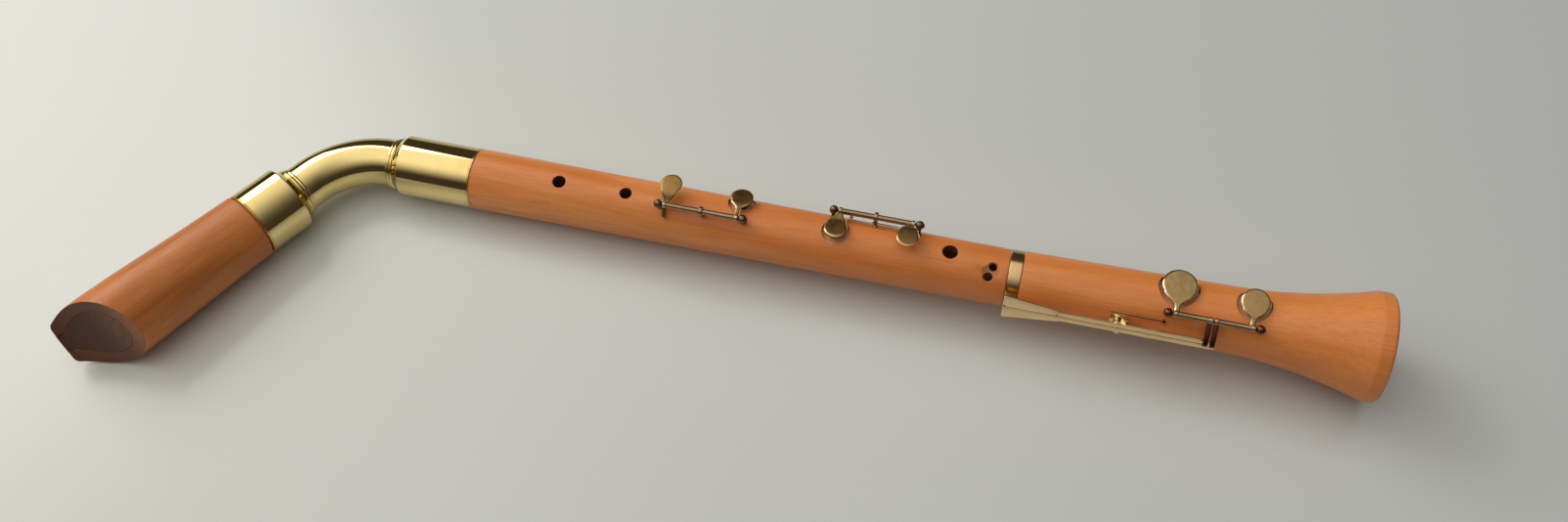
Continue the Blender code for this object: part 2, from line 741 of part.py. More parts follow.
def head(parent):
    start = 2.0 * GAP
    profile = [(-HEAD_TENON_LENGTH, HEAD_BORE_R)]
    profile += reversed(tenon_points(start, -HEAD_TENON_LENGTH, HEAD_TENON_R))
    profile += [(start, HEAD_TOP_R - EDGE), (start + EDGE, HEAD_TOP_R)]
    for part in range(1, 7):
        station = HEAD_REST * part / 6.0
        profile.append((station, head_radius(station)))
    for part in range(1, 4):
        station = HEAD_REST + (BEAK_DRAW_LENGTH - EDGE) * part / 3.0
        profile.append((station, head_radius(station)))
    profile += [(HEAD_LENGTH, head_radius(HEAD_LENGTH) - EDGE), (HEAD_LENGTH, BLOCK_R)]
    profile += [(BLOCK_START - WINDOW_LENGTH, BLOCK_R)]
    body = turned("head_joint", profile, WOOD_SIDES, parent, head_wood())
    cut_beak(body)

    edge = BLOCK_START - WINDOW_LENGTH
    ramp_end = edge - RAMP_LENGTH
    inside = BLOCK_R * 0.7
    outside = HEAD_WIDE_R + OVERRUN
    outline = [(BLOCK_START, inside), (BLOCK_START, outside), (ramp_end, outside),
               (ramp_end, head_radius(ramp_end) - OVERRUN / 5.0), (edge, BLOCK_R + RAMP_EDGE), (edge, inside)]
    window = bmesh.new()
    add_prism(window, outline, WINDWAY_WIDTH / 2.0)
    cut(body, "window_cut", window)
    windway = bmesh.new()
    add_windway(windway)
    cut(body, "windway_cut", windway)

    block_r = BLOCK_R - GAP
    block_end = HEAD_LENGTH - GAP
    profile = [(BLOCK_START, 0.0), (BLOCK_START, block_r - EDGE), (BLOCK_START + EDGE, block_r),
               (block_end, block_r), (block_end, 0.0)]
    block = turned("windway_block", profile, TUBE_SIDES, parent, cedar())
    cut_beak(block)
    tenon_cork("head_tenon_cork", 0.0, -HEAD_TENON_LENGTH, HEAD_TENON_R, HEAD_SOCKET_R, parent)


# Keywork

class Rod:
    """A hinge line beside a bore: its angle round it, its height and its two end posts."""

    def __init__(self, angle, height, left, right):
        self.angle = angle
        self.height = height
        self.left = left
        self.right = right

    def place(self, drop=0.0):
        return at(self.angle, 0.0, self.height - drop)

    def seen_from(self, angle):
        """Its Y and its height in a frame turned to another angle."""
        apart = math.radians(self.angle - angle)
        return -self.height * math.sin(apart), self.height * math.cos(apart)

    def clear_of_posts(self, station):
        """The nearest station where a stem passes between the ball posts."""
        room = POST_BALL_R + GAP + STEM_WIDTH / 2.0
        return min(max(station, self.left + room), self.right - room)


def middle_key_places(name):
    key = SimpleNamespace(**MIDDLE_KEYS[name])
    key.saddle = key.left + key.saddle_past
    key.hole_at = key.left + key.hole_past
    key.touch_at = key.left + key.touch_past
    key.heel_at = key.left + key.heel_past
    key.rod = Rod(key.rod_angle, body_radius(key.saddle) + key.rod_rise, key.left, key.left + key.length)
    key.surface_r = body_radius(key.hole_at)
    key.side = -1.0 if key.rod_angle > key.hole_angle else 1.0
    key.opening = -key.side * KEY_OPEN
    key.tube = (key.rod.left + POST_BALL_R + GAP, key.rod.right - POST_BALL_R - GAP)
    return key


def low_key_places():
    keys = {name: SimpleNamespace(**sizes) for name, sizes in LOW_KEYS.items()}
    for key in keys.values():
        key.hole_at = LOW_SPLIT + key.way * key.hole_past
        key.post = key.hole_at + key.way * key.post_past
        key.arm_at = LOW_SPLIT + key.way * ARM_OFF_SPLIT
        key.lever_end = key.arm_at + ARM_BALL_R + key.lever_past
        key.surface_r = foot_radius(key.hole_at)
        key.side = -1.0
        key.opening = KEY_OPEN
        key.tube = sorted((key.post - key.way * (POST_BALL_R + SIDE_PLAY), LOW_SPLIT + key.way * SIDE_PLAY))
    height = foot_radius(LOW_SPLIT) + LOW_ROD_RISE
    rod = Rod(LOW_ROD_ANGLE, height, keys["low_key"].post, keys["half_key"].post)
    for key in keys.values():
        key.rod = rod
    return keys, rod


def lever_screw_place():
    """The screw stands beside the upper lever, square to the wood under it."""
    surface_r = foot_radius(LEVER_SCREW_AT)
    angle = LEVER_ANGLE - math.degrees(math.asin(LEVER_SCREW_Y / surface_r))
    return SimpleNamespace(surface_r=surface_r, angle=angle)


def post_points(base, stem_end):
    """A post's outline from its shank's tip, up through its little foot, to the stem's end."""
    return [(base - POST_SHANK_LENGTH, 0.0), (base - POST_SHANK_LENGTH, POST_SHANK_R),
            (base + GAP, POST_SHANK_R), (base + GAP, POST_STEM_R + POST_FOOT),
            (base + GAP + 2.0 * POST_FOOT, POST_STEM_R), (stem_end, POST_STEM_R)]


def ball_post(name, rod, station, surface_r, parent):
    """A ball-headed post screwed into the wood, bored for the hinge pin."""
    neck_height = rod.height - POST_BALL_R * math.cos(math.asin(POST_STEM_R / POST_BALL_R))
    profile = post_points(surface_r, neck_height)
    profile += [(rod.height - POST_BALL_R * cosine, POST_BALL_R * sine) for sine, cosine in arc(9)[3:9]]
    profile.append((rod.height + POST_BALL_R, 0.0))
    made = turned(name, profile, POST_SIDES, parent, dark_steel(), along_z(at(rod.angle, station)))
    half = POST_BALL_R + OVERRUN
    drill(made, "bore", station - half, station + half, PIN_R + GAP, rod.place())
    return made


def saddle_post(name, key, parent):
    """A ring-headed post in the middle, which the key's tube turns in."""
    rod = key.rod
    stem_end = rod.height - (TUBE_R + GAP + SADDLE_RING_R) / 2.0
    profile = post_points(body_radius(key.saddle), stem_end) + [(stem_end, 0.0)]
    made = turned(name, profile, POST_SIDES, parent, aged_brass(), along_z(at(rod.angle, key.saddle)))
    inner = TUBE_R + GAP
    start = key.saddle - SADDLE_RING_LENGTH / 2.0
    end = key.saddle + SADDLE_RING_LENGTH / 2.0
    ring = [(start, inner), (start, SADDLE_RING_R - EDGE), (start + EDGE, SADDLE_RING_R),
            (end - EDGE, SADDLE_RING_R), (end, SADDLE_RING_R - EDGE), (end, inner)]
    head_ring = bmesh.new()
    add_turned(head_ring, ring, CUP_SIDES, rod.place())
    fuse(made, "ring", head_ring)
    drill(made, "spring_seat", key.saddle - 0.003, key.saddle + 0.003, SPRING_R + GAP,
          rod.place(SADDLE_SPRING_DROP))


def hinge_pin(name, rod, parent):
    """The steel pin from post to post, with a slotted head outside the right one."""
    start = rod.left - POST_BALL_R
    end = rod.right + POST_BALL_R
    profile = [(start, 0.0), (start, PIN_R), (end, PIN_R), (end, PIN_R + PIN_HEAD),
               (end + PIN_HEAD, PIN_R + PIN_HEAD), (end + PIN_HEAD + GAP, PIN_R), (end + PIN_HEAD + GAP, 0.0)]
    turned(name, profile, PIN_SIDES, parent, dark_steel(), rod.place())


def needle_spring(name, rod, anchor, way, drop, parent):
    shape = bmesh.new()
    start, end = sorted((anchor - way * SPRING_TAIL, anchor + way * (SPRING_LENGTH - SPRING_TAIL)))
    add_cylinder(shape, start, end, SPRING_R, PIN_SIDES, rod.place(drop))
    finish_mesh(name, shape, parent, dark_steel())


def teardrop_width(distance, radius, neck_end):
    """Half width of a round plate that draws in to its stem."""
    stem_half = STEM_WIDTH / 2.0
    start = radius * 0.55
    if distance <= start:
        return max(math.sqrt(max(radius ** 2 - distance ** 2, 0.0)), EDGE)
    share = (distance - start) / (neck_end - start)
    first = math.sqrt(radius ** 2 - start ** 2)
    return stem_half + (first - stem_half) * (1.0 - ease(share))


def add_teardrop(shape, place, station, stem_at, radius, side, reach, top, rod_height):
    """A round plate at the place's centre, with a stem along Y that comes down to the tube."""
    stations = []
    neck_end = min(radius * 1.4, reach * 0.92)
    level = radius * 0.75
    half_plate = Vector((0.0, 0.0, PLATE_THICKNESS / 2.0))
    for part in range(15):
        distance = -radius + (reach + radius) * part / 14.0
        half = teardrop_width(distance, radius, neck_end)
        fall = ease((distance - level) / (reach - level))
        height = (top - PLATE_THICKNESS / 2.0) * (1.0 - fall) + rod_height * fall
        centre = Vector((station + (stem_at - station) * fall, side * distance, height))
        stations.append((centre, Vector((half, 0.0, 0.0)), half_plate))
    add_strip(shape, stations, place)


def hinge_frame(name, key, parent):
    """An empty on the hinge axis; the key's meshes are closed ones, seen from that axis."""
    pivot = Matrix.Translation(key.rod.place().to_translation())
    made = frame_empty(name, parent, pivot @ roll(key.opening))
    return made, pivot.inverted()


def key_tube(name, key, hinge, back):
    """The turned hinge tube, with a raised collar at both ends."""
    start, end = key.tube
    wide = TUBE_R + TUBE_COLLAR
    profile = [(start, 0.0), (start, wide), (start + TUBE_COLLAR_LENGTH, wide),
               (start + TUBE_COLLAR_LENGTH, TUBE_R), (end - TUBE_COLLAR_LENGTH, TUBE_R),
               (end - TUBE_COLLAR_LENGTH, wide), (end, wide), (end, 0.0)]
    return turned(name, profile, CUP_SIDES, hinge, aged_brass(), back @ key.rod.place())


def bore_tube(made, key, back):
    start, end = key.tube
    drill(made, "bore", start - OVERRUN, end + OVERRUN, PIN_R + GAP, back @ key.rod.place())


def add_cup(made, key, hinge, back):
    """The key's plate and the cup's skirt, and the pad that lies in the cup."""
    top = seat_floor(key, key.surface_r) + GAP + PAD_PROUD + CUP_DEPTH
    rod_y, rod_z = key.rod.seen_from(key.hole_angle)
    plate = bmesh.new()
    add_teardrop(plate, back @ at(key.hole_angle), key.hole_at, key.rod.clear_of_posts(key.hole_at),
                 key.cup_r + CUP_LIP, key.side, abs(rod_y), top, rod_z)
    fuse(made, "plate", plate)
    place = along_z(back @ at(key.hole_angle, key.hole_at))
    inner = key.cup_r - CUP_WALL
    rim = top - CUP_DEPTH
    inside_plate = top - PLATE_THICKNESS / 2.0
    skirt = bmesh.new()
    add_turned(skirt, [(rim, inner), (rim, key.cup_r - GAP), (rim + GAP, key.cup_r),
                       (inside_plate, key.cup_r), (inside_plate, inner)], CUP_SIDES, place)
    fuse(made, "skirt", skirt)
    pad_r = inner - GAP
    low = rim - PAD_PROUD
    pad_top = top - PLATE_THICKNESS - GAP
    profile = [(low, 0.0), (low, pad_r - EDGE), (low + EDGE, pad_r), (pad_top, pad_r), (pad_top, 0.0)]
    turned(made.name + "_pad", profile, CUP_SIDES, hinge, pad_leather(), place)


def middle_key(name, key, parent):
    """A key on the middle joint: touch, hinge tube, cup and pad, and the heel that stops it."""
    hinge, back = hinge_frame(name + "_hinge", key, parent)
    made = key_tube(name, key, hinge, back)
    add_cup(made, key, hinge, back)
    rod_y, rod_z = key.rod.seen_from(key.touch_angle)
    shift = Matrix.Translation((0.0, rod_y - key.side * key.touch_reach, 0.0))
    touch = bmesh.new()
    add_teardrop(touch, back @ at(key.touch_angle) @ shift, key.touch_at,
                 key.rod.clear_of_posts(key.touch_at), key.touch_r, key.side, key.touch_reach,
                 rod_z + key.touch_rise, rod_z)
    fuse(made, "touch", touch)
    add_heel(made, key, hinge)
    bore_tube(made, key, back)


def add_heel(made, key, hinge):
    """A tongue on the far side of the tube, whose cork meets the wood when the key is open."""
    tip_angle = key.rod.angle - key.side * HEEL_SWING
    cork_base = body_radius(key.heel_at) + GAP + CORK_THICKNESS
    rod = key.rod.place().to_translation()
    reach = at(tip_angle, 0.0, cork_base + GAP + HEEL_THICKNESS / 2.0).to_translation() - rod
    normal = reach.normalized().cross(Vector((1.0, 0.0, 0.0)))
    half = Vector((HEEL_WIDTH / 2.0, 0.0, 0.0))
    start = Vector((key.heel_at, 0.0, 0.0))
    tongue = bmesh.new()
    add_strip(tongue, [(start + reach * share, half, normal * HEEL_THICKNESS / 2.0)
                       for share in (0.0, 1.0)], roll(-key.opening))
    fuse(made, "heel", tongue)

    outward = at(tip_angle).to_3x3() @ Vector((0.0, 0.0, 1.0))
    across = outward.cross(Vector((1.0, 0.0, 0.0))) * HEEL_WIDTH / 2.0
    centre = start + outward * (cork_base - CORK_THICKNESS / 2.0) - rod
    bumper = bmesh.new()
    add_strip(bumper, [(centre + across * way, half, outward * CORK_THICKNESS / 2.0)
                       for way in (-1.0, 1.0)], roll(-key.opening))
    finish_mesh(made.name + "_stop_cork", bumper, hinge, cork())


def low_cup_key(name, key, parent):
    """A cup on the foot with its own length of hinge tube and the arm that its lever lifts."""
    hinge, back = hinge_frame(name + "_hinge", key, parent)
    made = key_tube(name, key, hinge, back)
    add_cup(made, key, hinge, back)

    knob_height = LEVER_TOP + GAP + ARM_BALL_R
    ball = roll(LEVER_ANGLE) @ Vector((0.0, ARM_BALL_Y, knob_height))
    elbow = roll(LEVER_ANGLE) @ Vector((0.0, LEVER_BAR_WIDTH + ARM_BALL_R, knob_height - ELBOW_DROP))
    rod = key.rod.place().to_translation()
    start = Vector((key.arm_at, 0.0, 0.0))
    half = Vector((ARM_WIDTH / 2.0, 0.0, 0.0))
    arm = bmesh.new()
    stations = []
    for spot, heading, share in ((rod, elbow - rod, 1.0), (elbow, ball - rod, 0.7), (ball, ball - rod, 0.5)):
        through = heading.normalized().cross(Vector((1.0, 0.0, 0.0))) * ARM_THICKNESS / 2.0
        stations.append((start + spot - rod, half, through * share))
    add_strip(arm, stations, roll(-key.opening))
    fuse(made, "arm", arm)
    knob = bmesh.new()
    profile = [(-ARM_BALL_R * cosine, ARM_BALL_R * sine) for sine, cosine in arc(6)[1:-1]]
    add_turned(knob, [(-ARM_BALL_R, 0.0), *profile, (ARM_BALL_R, 0.0)], PIN_SIDES,
               roll(-key.opening) @ Matrix.Translation(start + ball - rod))
    fuse(made, "knob", knob)
    bore_tube(made, key, back)


# Levers

def low_lever(name, side, ends, parent):
    """A long lever: a broad touch for the little finger, a slim bar, and a barrel on its pivot.

    The half key's lever runs on past the other one, and spreads there under both bars' width.
    """
    pivot = at(LEVER_ANGLE, LEVER_PIVOT, LEVER_PIVOT_HEIGHT)
    hinge = frame_empty(name + "_hinge", parent, pivot)
    middle = LEVER_TOP - LEVER_THICKNESS / 2.0 - LEVER_PIVOT_HEIGHT
    inner = SIDE_PLAY / 2.0
    start = 2.0 * GAP
    plan = [(start, inner, LEVER_TOUCH_WIDTH - LEVER_CORNER),
            (start + 2.0 * LEVER_CORNER, inner, LEVER_TOUCH_WIDTH),
            (LEVER_TOUCH_END, inner, LEVER_TOUCH_NARROW),
            (LEVER_TOUCH_END + LEVER_CORNER, inner, LEVER_HALF)]
    if side > 0.0:
        plan += [(ends["low_key"] - LEVER_CORNER, inner, LEVER_HALF),
                 (ends["low_key"], inner + LEVER_CORNER, LEVER_HALF - LEVER_CORNER)]
    else:
        plan += [(ends["low_key"] + GAP, inner, LEVER_HALF),
                 (ends["low_key"] + 2.0 * GAP, -LEVER_HALF, LEVER_HALF),
                 (ends["half_key"], -LEVER_HALF, LEVER_HALF)]
    stations = []
    for station, low, high in plan:
        centre = Vector((station - LEVER_PIVOT, side * (low + high) / 2.0, middle))
        across = Vector((0.0, (high - low) / 2.0, 0.0))
        stations.append((centre, across, Vector((0.0, 0.0, LEVER_THICKNESS / 2.0))))
    bar = bmesh.new()
    add_strip(bar, stations, Matrix.Identity(4))
    made = finish_mesh(name, bar, hinge, lacquered_brass())
    across_bar = along_y(Matrix.Identity(4))
    low, high = sorted((side * (inner + GAP / 3.0), side * (LEVER_HALF - GAP / 3.0)))
    barrel = bmesh.new()
    add_cylinder(barrel, low, high, LEVER_BARREL_R, CUP_SIDES, across_bar)
    fuse(made, "barrel", barrel)
    reach = LEVER_HALF + OVERRUN
    drill(made, "bore", -reach, reach, PIN_R + GAP, across_bar)


def lever_bracket(parent):
    """The saddle on the foot that carries both levers, and their pin."""
    floor = BRACKET_SEAT + GAP
    low = LEVER_PIVOT - BRACKET_LENGTH / 2.0
    high = LEVER_PIVOT + BRACKET_LENGTH / 2.0
    place = at(LEVER_ANGLE)
    base = bmesh.new()
    add_block(base, low, high, BRACKET_HALF, floor, floor + BRACKET_BASE, place)
    made = finish_mesh("lever_bracket", base, parent, lacquered_brass())
    foot_height = floor + BRACKET_BASE / 2.0
    outline = [(low + OVERRUN, foot_height), (high - OVERRUN, foot_height)]
    outline += [(LEVER_PIVOT + BRACKET_EAR_R * cosine, LEVER_PIVOT_HEIGHT + BRACKET_EAR_R * sine)
                for sine, cosine in arc(6)]
    ears = bmesh.new()
    for side in (-1.0, 1.0):
        ear_place = place @ Matrix.Translation((0.0, side * EAR_MIDDLE, 0.0))
        add_prism(ears, outline, BRACKET_EAR / 2.0, ear_place)
    fuse(made, "ears", ears)
    across = along_y(at(LEVER_ANGLE, LEVER_PIVOT, LEVER_PIVOT_HEIGHT))
    reach = BRACKET_HALF + OVERRUN
    drill(made, "bore", -reach, reach, PIN_R + GAP, across)
    end = BRACKET_HALF + GAP
    profile = [(-end, 0.0), (-end, PIN_R), (end, PIN_R), (end, PIN_R + PIN_HEAD),
               (end + PIN_HEAD, PIN_R + PIN_HEAD), (end + PIN_HEAD, 0.0)]
    turned("lever_pin", profile, PIN_SIDES, parent, dark_steel(), across)


def lever_spring(parent):
    """A small screw in the wood beside the levers, and the wire spring that runs from it."""
    screw = lever_screw_place()
    base = screw.surface_r
    top = base + LEVER_SCREW_RISE
    profile = [(base - POST_SHANK_LENGTH, 0.0), (base - POST_SHANK_LENGTH, LEVER_SCREW_R),
               (top - EDGE, LEVER_SCREW_R), (top, LEVER_SCREW_R - EDGE), (top, 0.0)]
    turned("lever_spring_screw", profile, POST_SIDES, parent, dark_steel(),
           along_z(at(screw.angle, LEVER_SCREW_AT)))
    start = LEVER_PIVOT - BRACKET_LENGTH / 2.0
    end = LEVER_SCREW_AT - LEVER_SCREW_R - GAP
    shape = bmesh.new()
    add_cylinder(shape, start, end, SPRING_R, PIN_SIDES, at(screw.angle, 0.0, base + GAP + SPRING_R))
    finish_mesh("lever_spring", shape, parent, dark_steel())


def build():
    clear_scene()
    root = frame_empty("instrument", None, lying_rotation())
    middle = frame_empty("middle_axis", root, roll(FRONT_ROLL))
    foot = frame_empty("foot_axis", root, at(FRONT_ROLL, BODY_LENGTH))
    neck_axis = frame_empty("neck_axis", root, Matrix.Identity(4))
    neck_low = frame_empty("neck_low_axis", root, head_matrix())
    head_axis = frame_empty("head_axis", root, head_matrix() @ roll(HEAD_ROLL))
    middle_keys = {name: middle_key_places(name) for name in MIDDLE_KEYS}
    low_keys, low_rod = low_key_places()

    middle_joint(middle_keys.values(), middle)
    neck(neck_axis, neck_low)
    head(head_axis)
    foot_joint(low_keys.values(), foot)
    foot_ring(foot)
    for name, key in middle_keys.items():
        for end, station in (("left", key.rod.left), ("right", key.rod.right)):
            ball_post(f"{name}_{end}_post", key.rod, station, body_radius(station), middle)
        saddle_post(name + "_saddle", key, middle)
        hinge_pin(name + "_pin", key.rod, middle)
        needle_spring(name + "_spring", key.rod, key.saddle, 1.0, SADDLE_SPRING_DROP, middle)
        middle_key(name, key, middle)
    hinge_pin("low_pin", low_rod, foot)
    for name, key in low_keys.items():
        end = "left" if key.way < 0.0 else "right"
        post = ball_post(f"low_{end}_post", low_rod, key.post, foot_radius(key.post), foot)
        drill(post, "spring_seat", key.post - POST_BALL_R, key.post + POST_BALL_R, SPRING_R + GAP,
              low_rod.place(POST_SPRING_DROP))
        needle_spring(name + "_spring", low_rod, key.post, -key.way, POST_SPRING_DROP, foot)
        low_cup_key(name, key, foot)
    ends = {name: key.lever_end for name, key in low_keys.items()}
    low_lever("low_lever", 1.0, ends, foot)
    low_lever("half_lever", -1.0, ends, foot)
    lever_bracket(foot)
    lever_spring(foot)
    centre_over_origin(root)


build()
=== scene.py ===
"""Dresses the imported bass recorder: fine turned wood, polished and aged brass, leather pads and cork.

Lengths are metres and angles degrees. Stations run along a bore: from the top shoulder on the middle
joint, from its lower shoulder on the foot, and from the neck to the beak's tip on the head. An angle
round a bore counts from the front, where the finger holes are, towards -Y.
"""
import json
import math
from types import SimpleNamespace

import bmesh
import bpy
import numpy as np
from mathutils import Matrix, Vector


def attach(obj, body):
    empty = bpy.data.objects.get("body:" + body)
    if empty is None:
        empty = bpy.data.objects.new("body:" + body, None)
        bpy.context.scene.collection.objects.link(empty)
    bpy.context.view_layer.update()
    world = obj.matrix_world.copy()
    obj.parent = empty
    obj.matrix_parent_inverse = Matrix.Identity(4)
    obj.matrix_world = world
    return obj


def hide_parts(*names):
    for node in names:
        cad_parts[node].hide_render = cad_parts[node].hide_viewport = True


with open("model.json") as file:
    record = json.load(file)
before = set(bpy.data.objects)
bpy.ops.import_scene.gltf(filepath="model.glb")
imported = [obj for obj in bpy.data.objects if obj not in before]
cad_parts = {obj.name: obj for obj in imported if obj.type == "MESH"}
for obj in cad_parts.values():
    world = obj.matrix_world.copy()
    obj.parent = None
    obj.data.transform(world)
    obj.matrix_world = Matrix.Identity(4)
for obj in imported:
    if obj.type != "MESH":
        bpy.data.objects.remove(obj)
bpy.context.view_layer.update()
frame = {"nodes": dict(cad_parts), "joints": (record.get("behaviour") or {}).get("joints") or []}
NODES = frame["nodes"]
JOINTS = {joint["name"]: joint for joint in frame["joints"]}

# The photograph's frame and camera
PHOTO_WIDTH = 1604
FOCAL_PIXELS = 1500.0
CAMERA_FROM_SHOULDER = (0.3394, -0.5379, 0.7883)
CAMERA_FORWARD = (-0.1302, 0.5472, -0.8268)
CAMERA_ROLL = 0.36

# How the parts lie round their bores
FRONT_ROLL = 12.0
HEAD_ROLL = 111.0
GAP = 0.0003
SIDE_PLAY = 0.0006

# Middle joint
BODY_LENGTH = 0.358
BODY_TOP_R = 0.0203
BODY_END_R = 0.0184
BORE_TOP_R = 0.0143
BORE_END_R = 0.0113
UPPER_TENON = (0.040, 0.0186)
LOWER_TENON = (0.030, 0.0148)
LOWER_SOCKET_R = 0.0156
TENON_ROOM = 0.002
CORK_SINK = 0.0009
CORK_MARGIN = 0.006
FINGER_HOLES = ((0.0605, 2.0, 0.0044), (0.1061, 0.0, 0.0040), (0.3202, -6.0, 0.0050))
SIXTH_HOLES = ((0.3484, 9.5, 0.0025), (0.3463, 31.0, 0.0028))
THUMB_HOLE = (0.048, 180.0, 0.0038)
SCOOP = (0.3472, 20.5, 0.0125, 0.0013)
POST_SHANK = 0.0014

# Neck
SLEEVE_WALL = 0.0009
SLEEVE_CORNER = 0.0012
UPPER_SLEEVE = (0.0525, 0.0032, 0.0203, 0.042)
LOWER_SLEEVE = (0.0315, 0.0035, 0.0225, 0.028)
NECK_TUBE_R = 0.0158
NECK_TUBE_WALL = 0.0012
NECK_BEND_R = 0.055
BEND_ANGLE = 62.5
UPPER_STRAIGHT = 0.0004
BEADS = ((0.0027, 0.0019), (0.0023, 0.0010))

# Head
HEAD_LENGTH = 0.134
HEAD_TOP_R = 0.0228
HEAD_WIDE_R = 0.0257
HEAD_TENON = (0.026, 0.0208)
HEAD_BORE_R = 0.0150
BLOCK_R = 0.0176
BLOCK_START = 0.0725
BEAK_LENGTH = 0.037
BEAK_DRAW = 0.0033
BEAK_DRAW_LENGTH = 0.020
BEAK_CURVE = 1.85
BEAK_HEEL = 0.08
BEAK_SINK = 0.0008
BEAK_CORNER = 0.0030
WINDWAY_WIDTH = 0.0150
WINDWAY_HEIGHT = 0.0014
WINDOW_LENGTH = 0.0060
RAMP_LENGTH = 0.026
RAMP_EDGE = 0.0008

# Foot joint
FOOT_LENGTH = 0.233
RING_LENGTH = 0.0082
RING_PROUD = 0.0003
FOOT_TOP_R = 0.0189
FOOT_LOW_R = 0.0227
FOOT_BORE_R = 0.0112
BELL_FLARE = 0.082
BELL_BAND = 0.009
BELL_R = 0.0345
BELL_LIP = 0.0025
BELL_MOUTH_R = 0.0235
BELL_MOUTH_DEPTH = 0.016

# Keywork
TUBE_R = 0.0019
PIN_R = 0.00085
POST_BALL_R = 0.0029
POST_STEM_R = 0.0013
SADDLE_RING_R = 0.0033
PLATE_THICKNESS = 0.0011
PLATE_BEVEL = (0.0011, 0.0006)
SHORT_NECK = 1.4
LONG_NECK = 1.9
CUP_DEPTH = 0.0026
CUP_WALL = 0.0008
PAD_PROUD = 0.0008
SEAT_MARGIN = 0.0013
SEAT_WORN = {"middle": 0.0004, "foot": 0.0009}
SEAT_RING_DROP = 0.0007
TONE_HOLE_R = 0.0045
KEY_OPEN = 12.0
STEM_WIDTH = 0.0034
HEEL_WIDTH = 0.0024
HEEL_SWING = 18.0
CORK_THICKNESS = 0.0012
SPRING_R = 0.00035
SADDLE_SPRING_DROP = SADDLE_RING_R + 0.0008
POST_SPRING_DROP = 0.0033
MIDDLE_KEYS = {
    "third_key": dict(left=0.1305, length=0.0563, rod_angle=13.0, rod_rise=0.0065, saddle_past=0.0287,
                      heel_past=0.0045, hole_past=0.0514, hole_angle=-30.5, cup_r=0.0073,
                      touch_past=0.0057, touch_angle=-14.0, touch_r=0.0073, touch_reach=0.0139,
                      touch_rise=0.0040, opening=KEY_OPEN, cup_neck=SHORT_NECK),
    "fourth_key": dict(left=0.2420, length=0.0560, rod_angle=-37.0, rod_rise=0.0066, saddle_past=0.0277,
                       heel_past=0.0110, hole_past=0.0040, hole_angle=-3.5, cup_r=0.0073,
                       touch_past=0.0505, touch_angle=0.0, touch_r=0.0073, touch_reach=0.0142,
                       touch_rise=0.0050, opening=-KEY_OPEN, cup_neck=LONG_NECK),
}
LOW_ROD_ANGLE = 31.3
LOW_ROD_RISE = 0.0055
LOW_SPLIT = 0.1270
ARM_OFF_SPLIT = 0.0021
LOW_KEYS = {
    "low_key": dict(way=-1.0, hole_at=0.1048, hole_angle=-16.5, cup_r=0.0106, post_past=0.0052, lever_past=0.0003),
    "half_key": dict(way=1.0, hole_at=0.1503, hole_angle=-7.5, cup_r=0.0086, post_past=0.0049, lever_past=0.0005),
}
ARM_BALL_R = 0.0016
ARM_BALL_SHOWN = 0.00142
ARM_WIDTH = 0.0031
ARM_BALL_Y = 0.0012
LEVER_ANGLE = 67.0
LEVER_RISE = 0.0062
LEVER_THICKNESS = 0.0015
LEVER_BAR_WIDTH = 0.0031
LEVER_TOUCH_END = 0.0355
LEVER_TOUCH_WIDTH = 0.0088
LEVER_TOUCH_NARROW = 0.0042
LEVER_PIVOT = 0.0720
LEVER_PITS = (0.0016, 0.0345)
LEVER_BARREL_R = 0.0019
BARREL_SINK = 0.0008
BRACKET_LENGTH = 0.011
BRACKET_EAR = 0.0013
BRACKET_EAR_R = 0.0022
BRACKET_LEDGE = 0.0002
LEVER_SCREW_AT = 0.0990
LEVER_SCREW_Y = 0.0061
LEVER_SCREW_R = 0.0010

# Roundness
WOOD_SIDES = 160
METAL_SIDES = 128
SMALL_SIDES = 48

# The room
FLOOR_PALE = (0.79, 0.83, 0.82)
FLOOR_SHADED_END = (0.61, 0.65, 0.67)
ROOM_DARK = (0.050, 0.040, 0.032)
ROOM_BRIGHT = (1.22, 1.16, 1.05)
BACKDROP = (0.72, 0.74, 0.72)


# Bore frames

def about_x(points, angle):
    """Points turned about the x axis, from z towards -y."""
    points = np.asarray(points, float)
    turn = math.radians(angle)
    y = points[..., 1] * math.cos(turn) - points[..., 2] * math.sin(turn)
    z = points[..., 1] * math.sin(turn) + points[..., 2] * math.cos(turn)
    return np.stack([points[..., 0], y, z], axis=-1)


class Bore:
    """A bore's origin and axes: x along it, z at angle 0, and -y at angle 90."""

    def __init__(self, origin, along, up):
        self.x = np.array(along, float) / np.linalg.norm(along)
        self.z = np.array(up, float) - self.x * np.dot(up, self.x)
        self.z = self.z / np.linalg.norm(self.z)
        self.y = np.cross(self.z, self.x)
        self.origin = np.array(origin, float)

    def rolled(self, angle):
        turn = math.radians(angle)
        return Bore(self.origin, self.x, self.z * math.cos(turn) - self.y * math.sin(turn))

    def place(self, points):
        return self.origin + np.asarray(points, float) @ np.stack([self.x, self.y, self.z])

    def turn(self):
        """The rotation from world directions to the bore's own."""
        return Matrix([self.x, self.y, self.z])


def bore_of(joint, up):
    return Bore(JOINTS[joint]["pos_m"], JOINTS[joint]["axis"], up)


BEND_NORMAL = np.cross(JOINTS["head_turn"]["axis"], JOINTS["neck_turn"]["axis"])
NECK = bore_of("neck_turn", BEND_NORMAL)
BODY = NECK.rolled(FRONT_ROLL)
FOOT = bore_of("foot_turn", BEND_NORMAL).rolled(FRONT_ROLL)
NECK_LOW = bore_of("head_turn", BEND_NORMAL)
HEAD = NECK_LOW.rolled(HEAD_ROLL)


# Outlines of the wood

def ease(share):
    return 0.5 - 0.5 * np.cos(np.pi * np.clip(share, 0.0, 1.0))


def body_radius(station):
    return BODY_TOP_R + (BODY_END_R - BODY_TOP_R) * station / BODY_LENGTH


